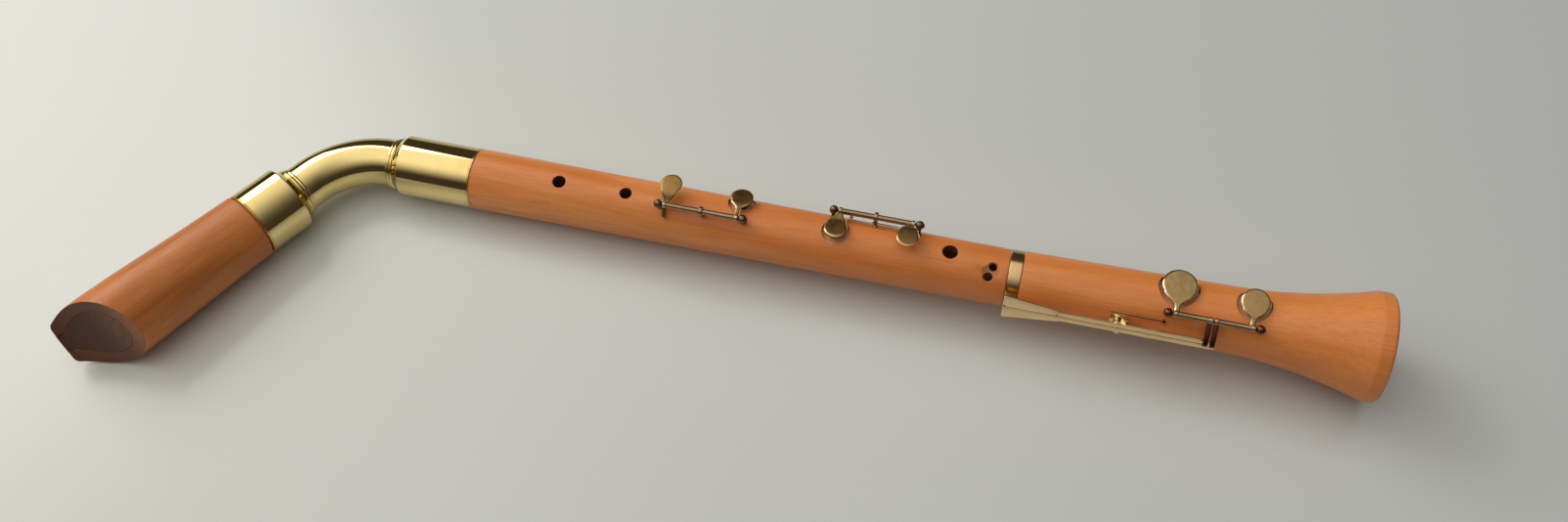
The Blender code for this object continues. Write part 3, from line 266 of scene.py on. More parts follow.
FOOT_START = GAP + RING_LENGTH + GAP
BAND_START = FOOT_LENGTH - BELL_BAND
HEAD_REST = HEAD_LENGTH - BEAK_DRAW_LENGTH


def foot_radius(station):
    """A slow taper from the ring to the bell's band, plus the square of the flare's share."""
    slow = (np.asarray(station) - FOOT_START) / (BAND_START - FOOT_START)
    flare = np.maximum(np.asarray(station) - BAND_START + BELL_FLARE, 0.0) / BELL_FLARE
    radius = FOOT_TOP_R + (FOOT_LOW_R - FOOT_TOP_R) * slow + (BELL_R - FOOT_LOW_R) * flare ** 2
    return np.minimum(radius, BELL_R)


def head_radius(station):
    """An eased swell to the throat, less the square of the share along the beak's drawn-in end."""
    drawn = np.maximum(np.asarray(station) - HEAD_REST, 0.0) / BEAK_DRAW_LENGTH
    swell = (HEAD_WIDE_R - HEAD_TOP_R) * ease(np.asarray(station) / HEAD_REST)
    return HEAD_TOP_R + swell - BEAK_DRAW * drawn ** 2


def beak_cut_height(share):
    """The beak's hollow cut: rise = (1 - (1 - s)^1.85) (1.08 s) / (s + 0.08), from throat to tip."""
    low = -head_radius(HEAD_LENGTH - BEAK_LENGTH)
    rise = 1.0 - (1.0 - share) ** BEAK_CURVE
    rounded_start = share * (1.0 + BEAK_HEEL) / (share + BEAK_HEEL)
    return low + (BLOCK_R - BEAK_SINK - low) * rise * rounded_start


LEVER_TOP = float(foot_radius(LOW_SPLIT)) + LEVER_RISE
LEVER_PIVOT_HEIGHT = LEVER_TOP - LEVER_THICKNESS - LEVER_BARREL_R + BARREL_SINK
LEVER_HALF = SIDE_PLAY / 2.0 + LEVER_BAR_WIDTH
EAR_MIDDLE = LEVER_HALF + SIDE_PLAY / 2.0 + BRACKET_EAR / 2.0
BRACKET_HALF = EAR_MIDDLE + BRACKET_EAR / 2.0 + BRACKET_LEDGE


# Camera and light

def make_camera():
    forward = Vector(CAMERA_FORWARD).normalized()
    level = forward.cross(Vector((0.0, 0.0, 1.0))).normalized()
    up = level.cross(forward)
    roll = math.radians(CAMERA_ROLL)
    right = level * math.cos(roll) + up * math.sin(roll)
    data = bpy.data.cameras.new("camera")
    data.sensor_width = 36.0
    data.lens = data.sensor_width * FOCAL_PIXELS / PHOTO_WIDTH
    data.clip_start = 0.01
    camera = bpy.data.objects.new("camera", data)
    place = Matrix((right, right.cross(forward), -forward)).transposed().to_4x4()
    place.translation = Vector(NECK.origin) + Vector(CAMERA_FROM_SHOULDER)
    camera.matrix_world = place
    bpy.context.collection.objects.link(camera)
    bpy.context.scene.camera = camera


def make_lamp(name, spot, aim, width, depth, power, colour):
    data = bpy.data.lights.new(name, "AREA")
    data.shape = "RECTANGLE"
    data.size = width
    data.size_y = depth
    data.energy = power
    data.color = colour
    lamp = bpy.data.objects.new(name, data)
    lamp.location = spot
    lamp.rotation_euler = (Vector(aim) - Vector(spot)).to_track_quat("-Z", "Y").to_euler()
    bpy.context.collection.objects.link(lamp)


# Shader expressions

def connect(tree, socket, value):
    if isinstance(value, Field):
        tree.links.new(value.socket, socket)
    else:
        socket.default_value = value


class Field:
    """Wraps a shader socket, so that maths on values adds Math nodes to its tree."""

    def __init__(self, tree, socket):
        self.tree = tree
        self.socket = socket

    def math(self, operation, *others):
        made = self.tree.nodes.new("ShaderNodeMath")
        made.operation = operation
        for number, value in enumerate((self, *others)):
            connect(self.tree, made.inputs[number], value)
        return Field(self.tree, made.outputs[0])

    def __add__(self, other):
        return self.math("ADD", other)

    def __sub__(self, other):
        return self.math("SUBTRACT", other)

    def __mul__(self, other):
        return self.math("MULTIPLY", other)

    def __rsub__(self, other):
        return self * -1.0 + other

    __radd__ = __add__
    __rmul__ = __mul__


class Shader:
    """A node tree; every node but the maths on values comes from its one method."""

    def __init__(self, tree):
        self.tree = tree

    def node(self, kind, settings, inputs, output=0):
        """A node of one type, its settings first, then its sockets' values or links by number or name."""
        made = self.tree.nodes.new("ShaderNode" + kind)
        for key, value in settings.items():
            setattr(made, key, value)
        for key, value in inputs.items():
            connect(self.tree, made.inputs[key], value)
        return Field(self.tree, made.outputs[output])

    def scaled(self, vector, scale):
        return self.node("VectorMath", {"operation": "MULTIPLY"}, {0: vector, 1: scale})

    def moved(self, vector, shift):
        return self.node("VectorMath", {"operation": "ADD"}, {0: vector, 1: shift})

    def part(self, vector, name):
        return self.node("SeparateXYZ", {}, {0: vector}, name)

    def noise(self, vector, scale=1.0, detail=2.0, rough=0.5, distortion=0.0):
        return self.node("TexNoise", {}, {"Vector": vector, "Scale": scale, "Detail": detail,
                                          "Roughness": rough, "Distortion": distortion})

    def ramp(self, value, low, high, start=0.0, end=1.0):
        """Start below low, end above high, and smooth between them."""
        return self.node("MapRange", {"interpolation_type": "SMOOTHSTEP"},
                         {"Value": value, "From Min": low, "From Max": high, "To Min": start, "To Max": end})

    def mix(self, factor, first, second):
        """Two colours mixed; the colour sockets of the node are numbers 6 and 7."""
        first = first if isinstance(first, Field) else (*first, 1.0)
        second = second if isinstance(second, Field) else (*second, 1.0)
        return self.node("Mix", {"data_type": "RGBA"}, {0: factor, 6: first, 7: second}, 2)


class Surface(Shader):
    """A material with one Principled shader."""

    def __init__(self, name, **values):
        self.material = bpy.data.materials.new(name)
        self.material.use_nodes = True
        super().__init__(self.material.node_tree)
        self.principled = self.tree.nodes["Principled BSDF"]
        self.set(**values)

    def set(self, **values):
        for key, value in values.items():
            value = (*value, 1.0) if key == "Base_Color" and isinstance(value, tuple) else value
            connect(self.tree, self.principled.inputs[key.replace("_", " ")], value)

    def here(self):
        return self.node("TexCoord", {}, {}, "Object")

    def local(self, bore):
        """Object coordinates turned into a bore's own, in metres."""
        turn = bore.turn()
        shift = turn @ Vector(bore.origin)
        return self.node("Mapping", {"vector_type": "POINT"},
                         {"Vector": self.here(), "Rotation": turn.to_euler(), "Location": -shift})

    def wear(self):
        return self.node("Attribute", {"attribute_name": "wear"}, {}, "Fac")

    def bump(self, height, strength, distance):
        bumped = self.node("Bump", {}, {"Strength": strength, "Distance": distance, "Height": height}, "Normal")
        self.set(Normal=bumped)


# Finishes

def pearwood(name, bore, pale, deep, dark, seed, sheen, deepens):
    """Close-grained fruitwood: long soft bands, fine fibres, tiny pores, and a tone that deepens along it."""
    made = Surface(name, IOR=1.42, Coat_Weight=0.06, Coat_Roughness=0.22)
    local = made.local(bore)
    here = made.moved(local, (seed, seed * 0.37, seed * 0.61))
    bands = made.noise(made.scaled(here, (5.0, 75.0, 75.0)), 1.0, 3.0, 0.55, 0.4)
    fibres = made.noise(made.scaled(here, (34.0, 900.0, 900.0)), 1.0, 3.0, 0.6)
    clouds = made.noise(made.scaled(here, (16.0, 42.0, 42.0)), 1.0, 3.0, 0.5)
    fleck = made.noise(made.scaled(here, (420.0, 2600.0, 2600.0)), 1.0, 1.0, 0.5)
    pores = made.ramp(fleck, 0.60, 0.70)
    along = made.ramp(made.part(local, "X"), 0.03, 0.30, 0.0, deepens)
    tone = made.ramp(bands * 0.65 + clouds * 0.35 - along, 0.36, 0.64)
    colour = made.mix(tone, deep, pale)
    colour = made.mix(made.ramp(fibres, 0.35, 0.75, 0.0, 0.30), colour, dark)
    colour = made.mix(pores * 0.28, colour, dark)
    made.set(Base_Color=colour, Roughness=made.ramp(fibres, 0.2, 0.8, sheen - 0.05, sheen + 0.07))
    made.bump(fibres * 0.6 - pores * 0.6, 0.12, 0.00012)
    return made.material


def hole_wood(name, colour, roughness):
    """Cut or worn wood, where short grain shows in two tones."""
    made = Surface(name, IOR=1.46)
    here = made.here()
    grain = made.noise(made.scaled(here, (600.0, 1600.0, 1600.0)), 1.0, 3.0, 0.6)
    darker = tuple(channel * 0.72 for channel in colour)
    made.set(Base_Color=made.mix(made.ramp(grain, 0.3, 0.7), colour, darker), Roughness=roughness)
    made.bump(grain, 0.15, 0.0002)
    return made.material


def cut_pearwood(bore):
    """The wood round the block in the beak's cut: orange where it meets the head, and brown towards the tip as painted
    shade.
    """
    made = Surface("cut_pearwood", IOR=1.45)
    here = made.local(bore)
    grain = made.noise(made.scaled(here, (120.0, 1400.0, 1400.0)), 1.0, 3.0, 0.6)
    # Painted shade: the cut darkens from orange to brown towards the tip.
    along = made.ramp(made.part(here, "X") + grain * 0.003, 0.0985, 0.1100)
    colour = made.mix(along, (0.48, 0.165, 0.058), (0.175, 0.058, 0.028))
    made.set(Base_Color=made.mix(made.ramp(grain, 0.35, 0.7, 0.0, 0.4), colour, (0.10, 0.030, 0.014)),
             Roughness=made.ramp(grain, 0.2, 0.8, 0.36, 0.46))
    made.bump(grain, 0.12, 0.0002)
    return made.material


def cedar_block(bore):
    """The block's cut face: soft growth bands, fine pores, a paler side away from the roof that is a painted
    reflection, and the rest darkened as painted shade.
    """
    made = Surface("block_cedar", Roughness=0.55, IOR=1.45)
    here = made.local(bore)
    centred = made.moved(here, (0.0, 0.011, 0.034))
    wobble = made.noise(made.scaled(centred, (20.0, 60.0, 60.0)), 1.0, 3.0, 0.55)
    radius = made.node("VectorMath", {"operation": "LENGTH"}, {0: made.scaled(centred, (0.12, 1.0, 1.0))}, "Value")
    rings = (radius * 1500.0 + wobble * 22.0).math("SINE") * 0.5 + 0.5
    pores = made.noise(made.scaled(centred, (300.0, 2200.0, 2200.0)), 1.0, 2.0, 0.6)
    # Painted light: a pale reflection on one side of the face, and shade on the other.
    side = made.ramp(made.part(here, "X"), 0.104, 0.116)
    base = made.mix(side, CEDAR_PAINTED_REFLECTION, CEDAR_PAINTED_SHADE)
    colour = made.mix(made.ramp(rings, 0.1, 1.0, 0.0, 0.22), base, (0.060, 0.024, 0.013))
    colour = made.mix(made.ramp(pores, 0.5, 0.75, 0.0, 0.5), colour, (0.050, 0.020, 0.011))
    made.set(Base_Color=colour)
    made.bump(rings * 0.3 + pores * 0.7, 0.15, 0.0002)
    return made.material


def lacquered_brass(name, pale, deep, rough, bore):
    """Spun and polished brass under clear lacquer, with faint lathe lines and a few brown specks."""
    made = Surface(name, Metallic=1.0, Coat_Weight=0.10, Coat_Roughness=0.04)
    here = made.local(bore)
    tone = made.noise(made.scaled(here, (60.0, 60.0, 60.0)), 1.0, 3.0, 0.5)
    lines = made.noise(made.scaled(here, (5200.0, 30.0, 30.0)), 1.0, 2.0, 0.5)
    specks = made.ramp(made.noise(here, 950.0, 2.0, 0.5), 0.715, 0.76)
    patches = made.ramp(made.noise(here, 55.0, 2.0, 0.6), 0.56, 0.72)
    colour = made.mix(made.ramp(tone, 0.3, 0.7), deep, pale)
    colour = made.mix(specks * patches * 0.75, colour, (0.16, 0.08, 0.03))
    made.set(Base_Color=colour, Roughness=made.ramp(lines, 0.2, 0.8, rough, rough + 0.03) + specks * patches * 0.3)
    made.bump(lines + tone * 0.5, 0.02, 0.00004)
    return made.material


def aged_brass(name, bright, dull, dark, rough):
    """Handled brass without lacquer: cloudy tarnish, worn bright along the edges."""
    made = Surface(name, Metallic=1.0)
    here = made.here()
    clouds = made.noise(here, 210.0, 4.0, 0.6)
    spots = made.ramp(made.noise(here, 900.0, 2.0, 0.6), 0.58, 0.72)
    scratches = made.noise(made.scaled(here, (700.0, 3600.0, 1800.0)), 1.0, 2.0, 0.55)
    colour = made.mix(made.ramp(clouds, 0.25, 0.75, 0.0, 0.6), dull, dark)
    colour = made.mix(spots * 0.2, colour, dark)
    rubbed = made.ramp(made.wear() + (clouds - 0.5) * 0.6, 0.45, 0.95)
    colour = made.mix(rubbed, colour, bright)
    made.set(Base_Color=colour, Roughness=made.ramp(clouds, 0.3, 0.7, rough, rough + 0.14) - rubbed * 0.10)
    made.bump(clouds * 0.4 + scratches * 0.4, 0.06, 0.0001)
    return made.material


def blued_steel(name, colour, rough):
    """Dark oxide on steel, a little lighter in clouds."""
    made = Surface(name, Metallic=1.0)
    clouds = made.noise(made.here(), 500.0, 3.0, 0.6)
    lighter = tuple(channel * 2.1 for channel in colour)
    made.set(Base_Color=made.mix(made.ramp(clouds, 0.4, 0.75), colour, lighter),
             Roughness=made.ramp(clouds, 0.3, 0.7, rough, rough + 0.12))
    made.bump(clouds, 0.05, 0.00008)
    return made.material


def kid_leather():
    """White skin with a fine pebble and faint yellowing."""
    made = Surface("kid_leather", IOR=1.4)
    here = made.here()
    grain = made.node("TexVoronoi", {}, {"Vector": here, "Scale": 2600.0}, "Distance")
    clouds = made.noise(here, 300.0, 3.0, 0.6)
    colour = made.mix(made.ramp(clouds, 0.3, 0.7), (0.80, 0.77, 0.69), (0.66, 0.62, 0.52))
    made.set(Base_Color=colour, Roughness=made.ramp(clouds, 0.3, 0.7, 0.72, 0.85))
    made.bump(grain, 0.25, 0.00015)
    return made.material


def natural_cork():
    """Cork cells of two tones, with dark pits."""
    made = Surface("natural_cork", IOR=1.4)
    here = made.here()
    cells = made.node("TexVoronoi", {}, {"Vector": here, "Scale": 1500.0}, "Distance")
    pits = made.ramp(made.noise(here, 620.0, 3.0, 0.6), 0.57, 0.68)
    colour = made.mix(made.ramp(cells, 0.1, 0.6), (0.56, 0.36, 0.19), (0.68, 0.47, 0.27))
    made.set(Base_Color=made.mix(pits * 0.8, colour, (0.22, 0.11, 0.05)),
             Roughness=made.ramp(cells, 0.0, 0.7, 0.78, 0.9))
    made.bump(cells - pits * 2.0, 0.3, 0.0003)
    return made.material


def table_top():
    """Pale satin glass that faintly mirrors what stands on it, with painted shade that darkens it towards the bell."""
    made = Surface("table_top", IOR=1.45)
    here = made.here()
    clouds = made.noise(here, 1.4, 2.0, 0.5)
    # Painted shade: the top's colour darkens from the pale one towards the bell.
    colour = made.mix(made.ramp(made.part(here, "X") + clouds * 0.1, -0.55, 0.75), FLOOR_PALE, FLOOR_SHADED_END)
    made.set(Base_Color=colour, Roughness=made.ramp(clouds, 0.2, 0.8, 0.20, 0.24))
    return made.material


# The block face's colours, darkened as painted shade; the paler one is a painted reflection.
CEDAR_PAINTED_REFLECTION = (0.215, 0.098, 0.052)
CEDAR_PAINTED_SHADE = (0.120, 0.046, 0.024)

pear_middle = pearwood("pearwood_middle", BODY, (0.950, 0.365, 0.108), (0.800, 0.255, 0.064),
                       (0.440, 0.108, 0.028), 0.0, 0.34, 0.16)
pear_foot = pearwood("pearwood_foot", FOOT, (0.900, 0.318, 0.088), (0.800, 0.255, 0.062),
                     (0.500, 0.128, 0.030), 3.1, 0.36, 0.0)
pear_head = pearwood("pearwood_head", HEAD, (0.760, 0.256, 0.060), (0.570, 0.176, 0.038),
                     (0.260, 0.066, 0.015), 7.7, 0.36, 0.0)
hole_rim = hole_wood("hole_rim_wood", (0.74, 0.50, 0.32), 0.5)
# Dark wood for the walls of holes, seats and the windway: painted shade.
hole_wall_painted_shade = hole_wood("hole_wall_wood", (0.20, 0.07, 0.03), 0.7)
seat_wood = hole_wood("seat_wood", (0.86, 0.38, 0.17), 0.5)
scoop_wood = hole_wood("scoop_wood", (0.56, 0.20, 0.066), 0.5)
cut_wood = cut_pearwood(HEAD)
block_cedar = cedar_block(HEAD)
neck_brass = lacquered_brass("neck_brass", (0.85, 0.68, 0.31), (0.80, 0.62, 0.26), 0.035, NECK)
head_brass = lacquered_brass("head_brass", (0.85, 0.68, 0.31), (0.80, 0.62, 0.26), 0.035, NECK_LOW)
ring_brass = lacquered_brass("ring_brass", (0.70, 0.49, 0.26), (0.60, 0.41, 0.20), 0.20, FOOT)
lever_brass = lacquered_brass("lever_brass", (0.90, 0.67, 0.38), (0.80, 0.56, 0.29), 0.16, FOOT)
key_brass = aged_brass("key_brass", (0.82, 0.64, 0.36), (0.32, 0.188, 0.072), (0.24, 0.136, 0.050), 0.28)
foot_key_brass = aged_brass("foot_key_brass", (0.86, 0.70, 0.45), (0.40, 0.270, 0.122), (0.33, 0.215, 0.095), 0.20)
tube_brass = aged_brass("tube_brass", (0.88, 0.70, 0.48), (0.40, 0.270, 0.155), (0.26, 0.160, 0.094), 0.16)
# Brighter brass for the leaves on the bracket's ear: a painted highlight.
ear_painted_highlight = lacquered_brass("ear_painted_highlight", (1.00, 0.82, 0.34), (0.95, 0.74, 0.28), 0.10, FOOT)
post_brass = aged_brass("post_brass", (0.52, 0.38, 0.25), (0.210, 0.130, 0.078), (0.130, 0.078, 0.046), 0.16)
# Tarnished brass whose red-brown tint is a painted reflection of the pearwood.
foot_post_brass_painted_reflection = aged_brass("foot_post_brass_painted_reflection", (0.62, 0.42, 0.34), (0.200, 0.074, 0.052), (0.120, 0.044, 0.032), 0.14)
dark_steel = blued_steel("dark_steel", (0.10, 0.085, 0.08), 0.22)
leather = kid_leather()
cork = natural_cork()


# Meshes

class Piece:
    """Collects grids of points, each a closed shell, into one mesh."""

    def __init__(self, name):
        self.name = name
        self.points = []
        self.wears = []
        self.faces = []
        self.slots = []
        self.count = 0

    def grid(self, rows, loop=False, capped=True, wear=None):
        """Quads between neighbours of an array (rows, columns, 3). Columns close round; rows do when
        loop is set, and otherwise the first and last rows are closed by a face each."""
        rows = np.asarray(rows, float)
        tall, wide = rows.shape[:2]
        numbers = self.count + np.arange(tall * wide).reshape(tall, wide)
        first = numbers if loop else numbers[:-1]
        second = np.roll(numbers, -1, 0) if loop else numbers[1:]
        quads = np.stack([first, np.roll(first, -1, 1), np.roll(second, -1, 1), second], axis=-1)
        made = quads.reshape(-1, 4).tolist()
        if capped and not loop:
            made += [numbers[0].tolist(), numbers[-1].tolist()]
        self.faces += made
        self.slots += [0] * len(made)
        self.points.append(rows.reshape(-1, 3))
        self.wears.append(np.zeros(tall * wide) if wear is None else np.asarray(wear, float).reshape(-1))
        self.count += tall * wide
        return self

    def turned(self, profile, place, sides=SMALL_SIDES, stood=False, wear=None, loop=False):
        """A turned shell on a place, its x axis stood up along z when stood is set."""
        rows = turned_rows(profile, sides)
        rows = upright(rows) if stood else rows
        shares = None if wear is None else np.repeat(np.asarray(wear, float)[:, None], sides, axis=1)
        return self.grid(place(rows), loop=loop, capped=False, wear=shares)

    def mesh(self, sharp=35.0):
        """One mesh with merged poles, faces pointing outwards, and the share of wear on each point."""
        made = bpy.data.meshes.new(self.name)
        made.from_pydata(np.concatenate(self.points).tolist(), [], self.faces)
        made.polygons.foreach_set("material_index", self.slots)
        shares = made.attributes.new("wear", "FLOAT", "POINT")
        shares.data.foreach_set("value", np.concatenate(self.wears).astype(np.float32))
        work = bmesh.new()
        work.from_mesh(made)
        bmesh.ops.remove_doubles(work, verts=work.verts, dist=2e-7)
        bmesh.ops.dissolve_degenerate(work, edges=work.edges, dist=1e-8)
        bmesh.ops.recalc_face_normals(work, faces=work.faces)
        work.to_mesh(made)
        work.free()
        made.shade_smooth()
        made.set_sharp_from_angle(angle=math.radians(sharp))
        return made

    def finish(self, materials, body, node, sharp=35.0, cutters=()):
        """The piece as an object that rides on a body and stands for a node, cut by other pieces."""
        made = bpy.data.objects.new(self.name, self.mesh(sharp))
        bpy.context.collection.objects.link(made)
        for material in materials:
            made.data.materials.append(material)
        for cutter in cutters:
            carve(made, cutter, sharp)
        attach(made, body)
        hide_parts(node)


def carve(target, cutter, sharp):
    """Cuts one mesh from another, and keeps the cutter's material on the cut faces."""
    tool = bpy.data.objects.new(cutter[0].name, cutter[0].mesh())
    bpy.context.collection.objects.link(tool)
    for material in cutter[1]:
        tool.data.materials.append(material)
    step = target.modifiers.new("cut", "BOOLEAN")
    step.operation = "DIFFERENCE"
    step.solver = "EXACT"
    step.material_mode = "TRANSFER"
    step.object = tool
    bpy.context.view_layer.update()
    shown = target.evaluated_get(bpy.context.evaluated_depsgraph_get())
    whole = bpy.data.meshes.new_from_object(shown)
    target.modifiers.clear()
    target.data = whole
    whole.shade_smooth()
    whole.set_sharp_from_angle(angle=math.radians(sharp))
    bpy.data.objects.remove(tool)


def turned_rows(profile, sides=METAL_SIDES, place=None):
    """A profile of (station, radius) pairs carried round the x axis: y = r cos t and z = r sin t."""
    profile = np.asarray(profile, float)
    turn = np.linspace(0.0, 2.0 * math.pi, sides, endpoint=False)
    station = np.repeat(profile[:, :1], sides, axis=1)
    rows = np.stack([station, profile[:, 1:] * np.cos(turn), profile[:, 1:] * np.sin(turn)], axis=-1)
    return place(rows) if place else rows


def upright(points):
    """A turned shape's x axis stood up along z."""
    return np.stack([-points[..., 2], points[..., 1], points[..., 0]], axis=-1)


def rounded(profile, radius, steps=4, loop=True):
    """Each corner of a profile becomes a short curve: the quadratic through its two shortened arms."""
    points = np.asarray(profile, float)
    made = []
    count = len(points)
    for number in range(count):
        here = points[number]
        before = points[number - 1] - here
        after = points[(number + 1) % count] - here
        long_before = np.linalg.norm(before)
        long_after = np.linalg.norm(after)
        straight = np.dot(before, after) < -0.985 * long_before * long_after
        if straight or (not loop and number in (0, count - 1)):
            made.append(here)
            continue
        reach = min(radius, long_before * 0.45, long_after * 0.45)
        start = here + before / long_before * reach
        end = here + after / long_after * reach
        share = np.linspace(0.0, 1.0, steps + 1)[:, None]
        made.extend((1 - share) ** 2 * start + 2 * share * (1 - share) * here + share ** 2 * end)
    return np.array(made)


def pairs(stations, radii):
    return list(zip(np.asarray(stations, float).tolist(), np.asarray(radii, float).tolist()))


def quarter(count, turn=90.0):
    """Sine and cosine of evenly spaced angles over a turn."""
    turns = np.radians(np.linspace(0.0, turn, count))
    return np.sin(turns), np.cos(turns)


class Spot:
    """A place on a bore: rolled to an angle, shifted along, and turned with a key about its rod."""

    def __init__(self, bore, station=0.0, angle=0.0, shift=(0.0, 0.0, 0.0), rod=None, opening=0.0):
        self.bore = bore
        self.station = station
        self.angle = angle
        self.shift = np.array(shift, float)
        self.rod = rod
        self.opening = opening

    def __call__(self, points):
        points = about_x(np.asarray(points, float) + self.shift, self.angle) + np.array([self.station, 0.0, 0.0])
        if self.rod:
            centre = self.rod.centre()
            points = about_x(points - centre, self.opening) + centre
        return self.bore.place(points)


class Rod:
    """A hinge line beside a bore, with a post at each end."""

    def __init__(self, bore, angle, height, left, right):
        self.bore = bore
        self.angle = angle
        self.height = height
        self.left = left
        self.right = right

    def centre(self, station=0.0):
        return about_x([station, 0.0, self.height], self.angle)

    def spot(self, station=0.0, drop=0.0):
        return Spot(self.bore, station, self.angle, (0.0, 0.0, self.height - drop))

    def seen_from(self, angle):
        """Its y and its height in a frame turned to another angle."""
        apart = math.radians(self.angle - angle)
        return -self.height * math.sin(apart), self.height * math.cos(apart)

    def clear_of_posts(self, station):
        room = POST_BALL_R + GAP + STEM_WIDTH / 2.0
        return min(max(station, self.left + room), self.right - room)


# Wood

def drill(name, station, angle, radius, surface_r, bottom, rim, material):
    """A hole's cutter, with the small worn bevel at its mouth in a material of its own, and its wall and floor in dark
    wood as painted shade.
    """
    made = Piece(name)
    top = surface_r - rim * 0.9
    profile = [(bottom, 0.0), (bottom, radius), (top, radius), (top + rim * 0.5, radius + rim * 0.35),
               (surface_r + 0.0002, radius + rim * 1.2), (surface_r + 0.003, radius + rim * 1.2 + 0.002),
               (surface_r + 0.003, 0.0)]
    made.turned(profile, Spot(BODY, station, angle), stood=True)
    # The hole's wall and floor take the dark wall wood: painted shade.
    made.slots = [1] * (2 * SMALL_SIDES) + [0] * (len(made.faces) - 2 * SMALL_SIDES)
    return made, [material, hole_wall_painted_shade]


def seat_height(key):
    return math.sqrt(key.surface_r ** 2 - (key.cup_r + SEAT_MARGIN) ** 2)


def seat_cut(name, bore, key):
    """The counterbore for a pad: a raised rim round the tone hole, and a lower ring round the rim, with its walls dark
    as painted shade.
    """
    floor = seat_height(key)
    above = key.surface_r + 0.003
    seat_r = key.cup_r + SEAT_MARGIN + SEAT_WORN["foot" if bore is FOOT else "middle"]
    low = floor - SEAT_RING_DROP
    made = Piece(name)
    profile = [(0.004, 0.0), (0.004, TONE_HOLE_R), (floor - 0.0004, TONE_HOLE_R), (floor, TONE_HOLE_R + 0.0003),
               (floor, TONE_HOLE_R + 0.0014), (low, TONE_HOLE_R + 0.0020), (low, seat_r), (above, seat_r), (above, 0.0)]
    made.turned(profile, Spot(bore, key.hole_at, key.hole_angle), SMALL_SIDES * 2, True)
    around = 2 * SMALL_SIDES
    # The tone hole's wall and the seat's outer wall take the dark wall wood: painted shade.
    made.slots = [1] * (2 * around) + [0] * (4 * around) + [1] * around + [0] * around
    return made, [seat_wood, hole_wall_painted_shade]


def post_drill(name, bore, station, angle, surface_r):
    made = Piece(name)
    bottom = surface_r - 0.0043
    profile = [(bottom, 0.0), (bottom, POST_SHANK), (surface_r + 0.001, POST_SHANK), (surface_r + 0.001, 0.0)]
    made.turned(profile, Spot(bore, station, angle), 24, True)
    return made, [hole_wall_painted_shade]


def tenon_outline(shoulder, end, radius):
    way = 1.0 if end > shoulder else -1.0
    groove = radius - CORK_SINK
    return [(shoulder + way * CORK_MARGIN, radius), (shoulder + way * CORK_MARGIN, groove),
            (end - way * CORK_MARGIN, groove), (end - way * CORK_MARGIN, radius), (end, radius)]


def make_middle():
    top = -UPPER_TENON[0]
    low = BODY_LENGTH + LOWER_TENON[0]
    outline = [(top, BORE_TOP_R)] + list(reversed(tenon_outline(0.0, top, UPPER_TENON[1])))
    outline += [(0.0, UPPER_TENON[1]), (0.0, BODY_TOP_R)]
    stations = np.linspace(0.0, BODY_LENGTH, 14)[1:]
    outline += pairs(stations, body_radius(stations))
    outline += [(BODY_LENGTH, LOWER_TENON[1])]
    outline += tenon_outline(BODY_LENGTH, low, LOWER_TENON[1]) + [(low, BORE_END_R)]
    piece = Piece("middle_joint_wood")
    piece.grid(turned_rows(rounded(outline, 0.0005), WOOD_SIDES, BODY.place), loop=True)
    cutters = [drill(f"finger_drill_{number}", station, angle, radius, body_radius(station), 0.004, 0.0006, hole_rim)
               for number, (station, angle, radius) in enumerate((*FINGER_HOLES, THUMB_HOLE))]
    for name, key in middle_keys.items():
        cutters.append(seat_cut(name + "_seat", BODY, key))
        for station in (key.rod.left, key.saddle, key.rod.right):
            cutters.append(post_drill(name + "_post", BODY, station, key.rod.angle, body_radius(station)))
    station, angle, radius, depth = SCOOP
    scoop = Piece("scoop")
    centre = body_radius(station) + radius - depth
    sine, cosine = quarter(40, 180.0)
    scoop.turned(pairs(centre - radius * cosine, radius * sine), Spot(BODY, station, angle), 96, True)
    cutters.append((scoop, [scoop_wood]))
    for number, (station, angle, radius) in enumerate(SIXTH_HOLES):
        cutters.append(drill(f"sixth_drill_{number}", station, angle, radius, body_radius(station) - 0.0010,
                             0.007, 0.0003, scoop_wood))
    piece.finish([pear_middle], "middle", "middle_joint", 30.0, cutters)


def make_foot():
    socket_end = LOWER_TENON[0] + TENON_ROOM
    stations = np.concatenate([np.linspace(FOOT_START, BAND_START - BELL_FLARE, 14)[:-1],
                               np.linspace(BAND_START - BELL_FLARE, BAND_START, 24)])
    outline = [(FOOT_START, LOWER_SOCKET_R)] + pairs(stations, foot_radius(stations))
    sine, cosine = quarter(9)
    outline += pairs(FOOT_LENGTH - BELL_LIP * (1.0 - sine), BELL_R - BELL_LIP * (1.0 - cosine))
    flat = (BELL_MOUTH_R - FOOT_BORE_R) * 0.8
    sine, cosine = quarter(14)
    outline += pairs(FOOT_LENGTH - BELL_MOUTH_DEPTH * (1.0 - cosine), BELL_MOUTH_R - flat * sine)
    outline += [(socket_end, FOOT_BORE_R), (socket_end, LOWER_SOCKET_R)]
    piece = Piece("foot_joint_wood")
    piece.grid(turned_rows(rounded(outline, 0.0004), WOOD_SIDES, FOOT.place), loop=True)
    cutters = [seat_cut(name + "_seat", FOOT, key) for name, key in low_keys.items()]
    for station in (low_rod.left, low_rod.right):
        cutters.append(post_drill("foot_post", FOOT, station, low_rod.angle, float(foot_radius(station))))
    piece.finish([pear_foot], "foot", "foot_joint", 30.0, cutters)

    ring = Piece("foot_ring_brass")
    start = GAP
    end = start + RING_LENGTH
    radius = BODY_END_R + RING_PROUD
    inner = LOWER_SOCKET_R + GAP
    outline = [(start, inner), (start, radius), (end, radius), (end, inner)]
    ring.grid(turned_rows(rounded(outline, 0.0005), METAL_SIDES, FOOT.place), loop=True)
    ring.finish([ring_brass], "foot", "foot_ring")


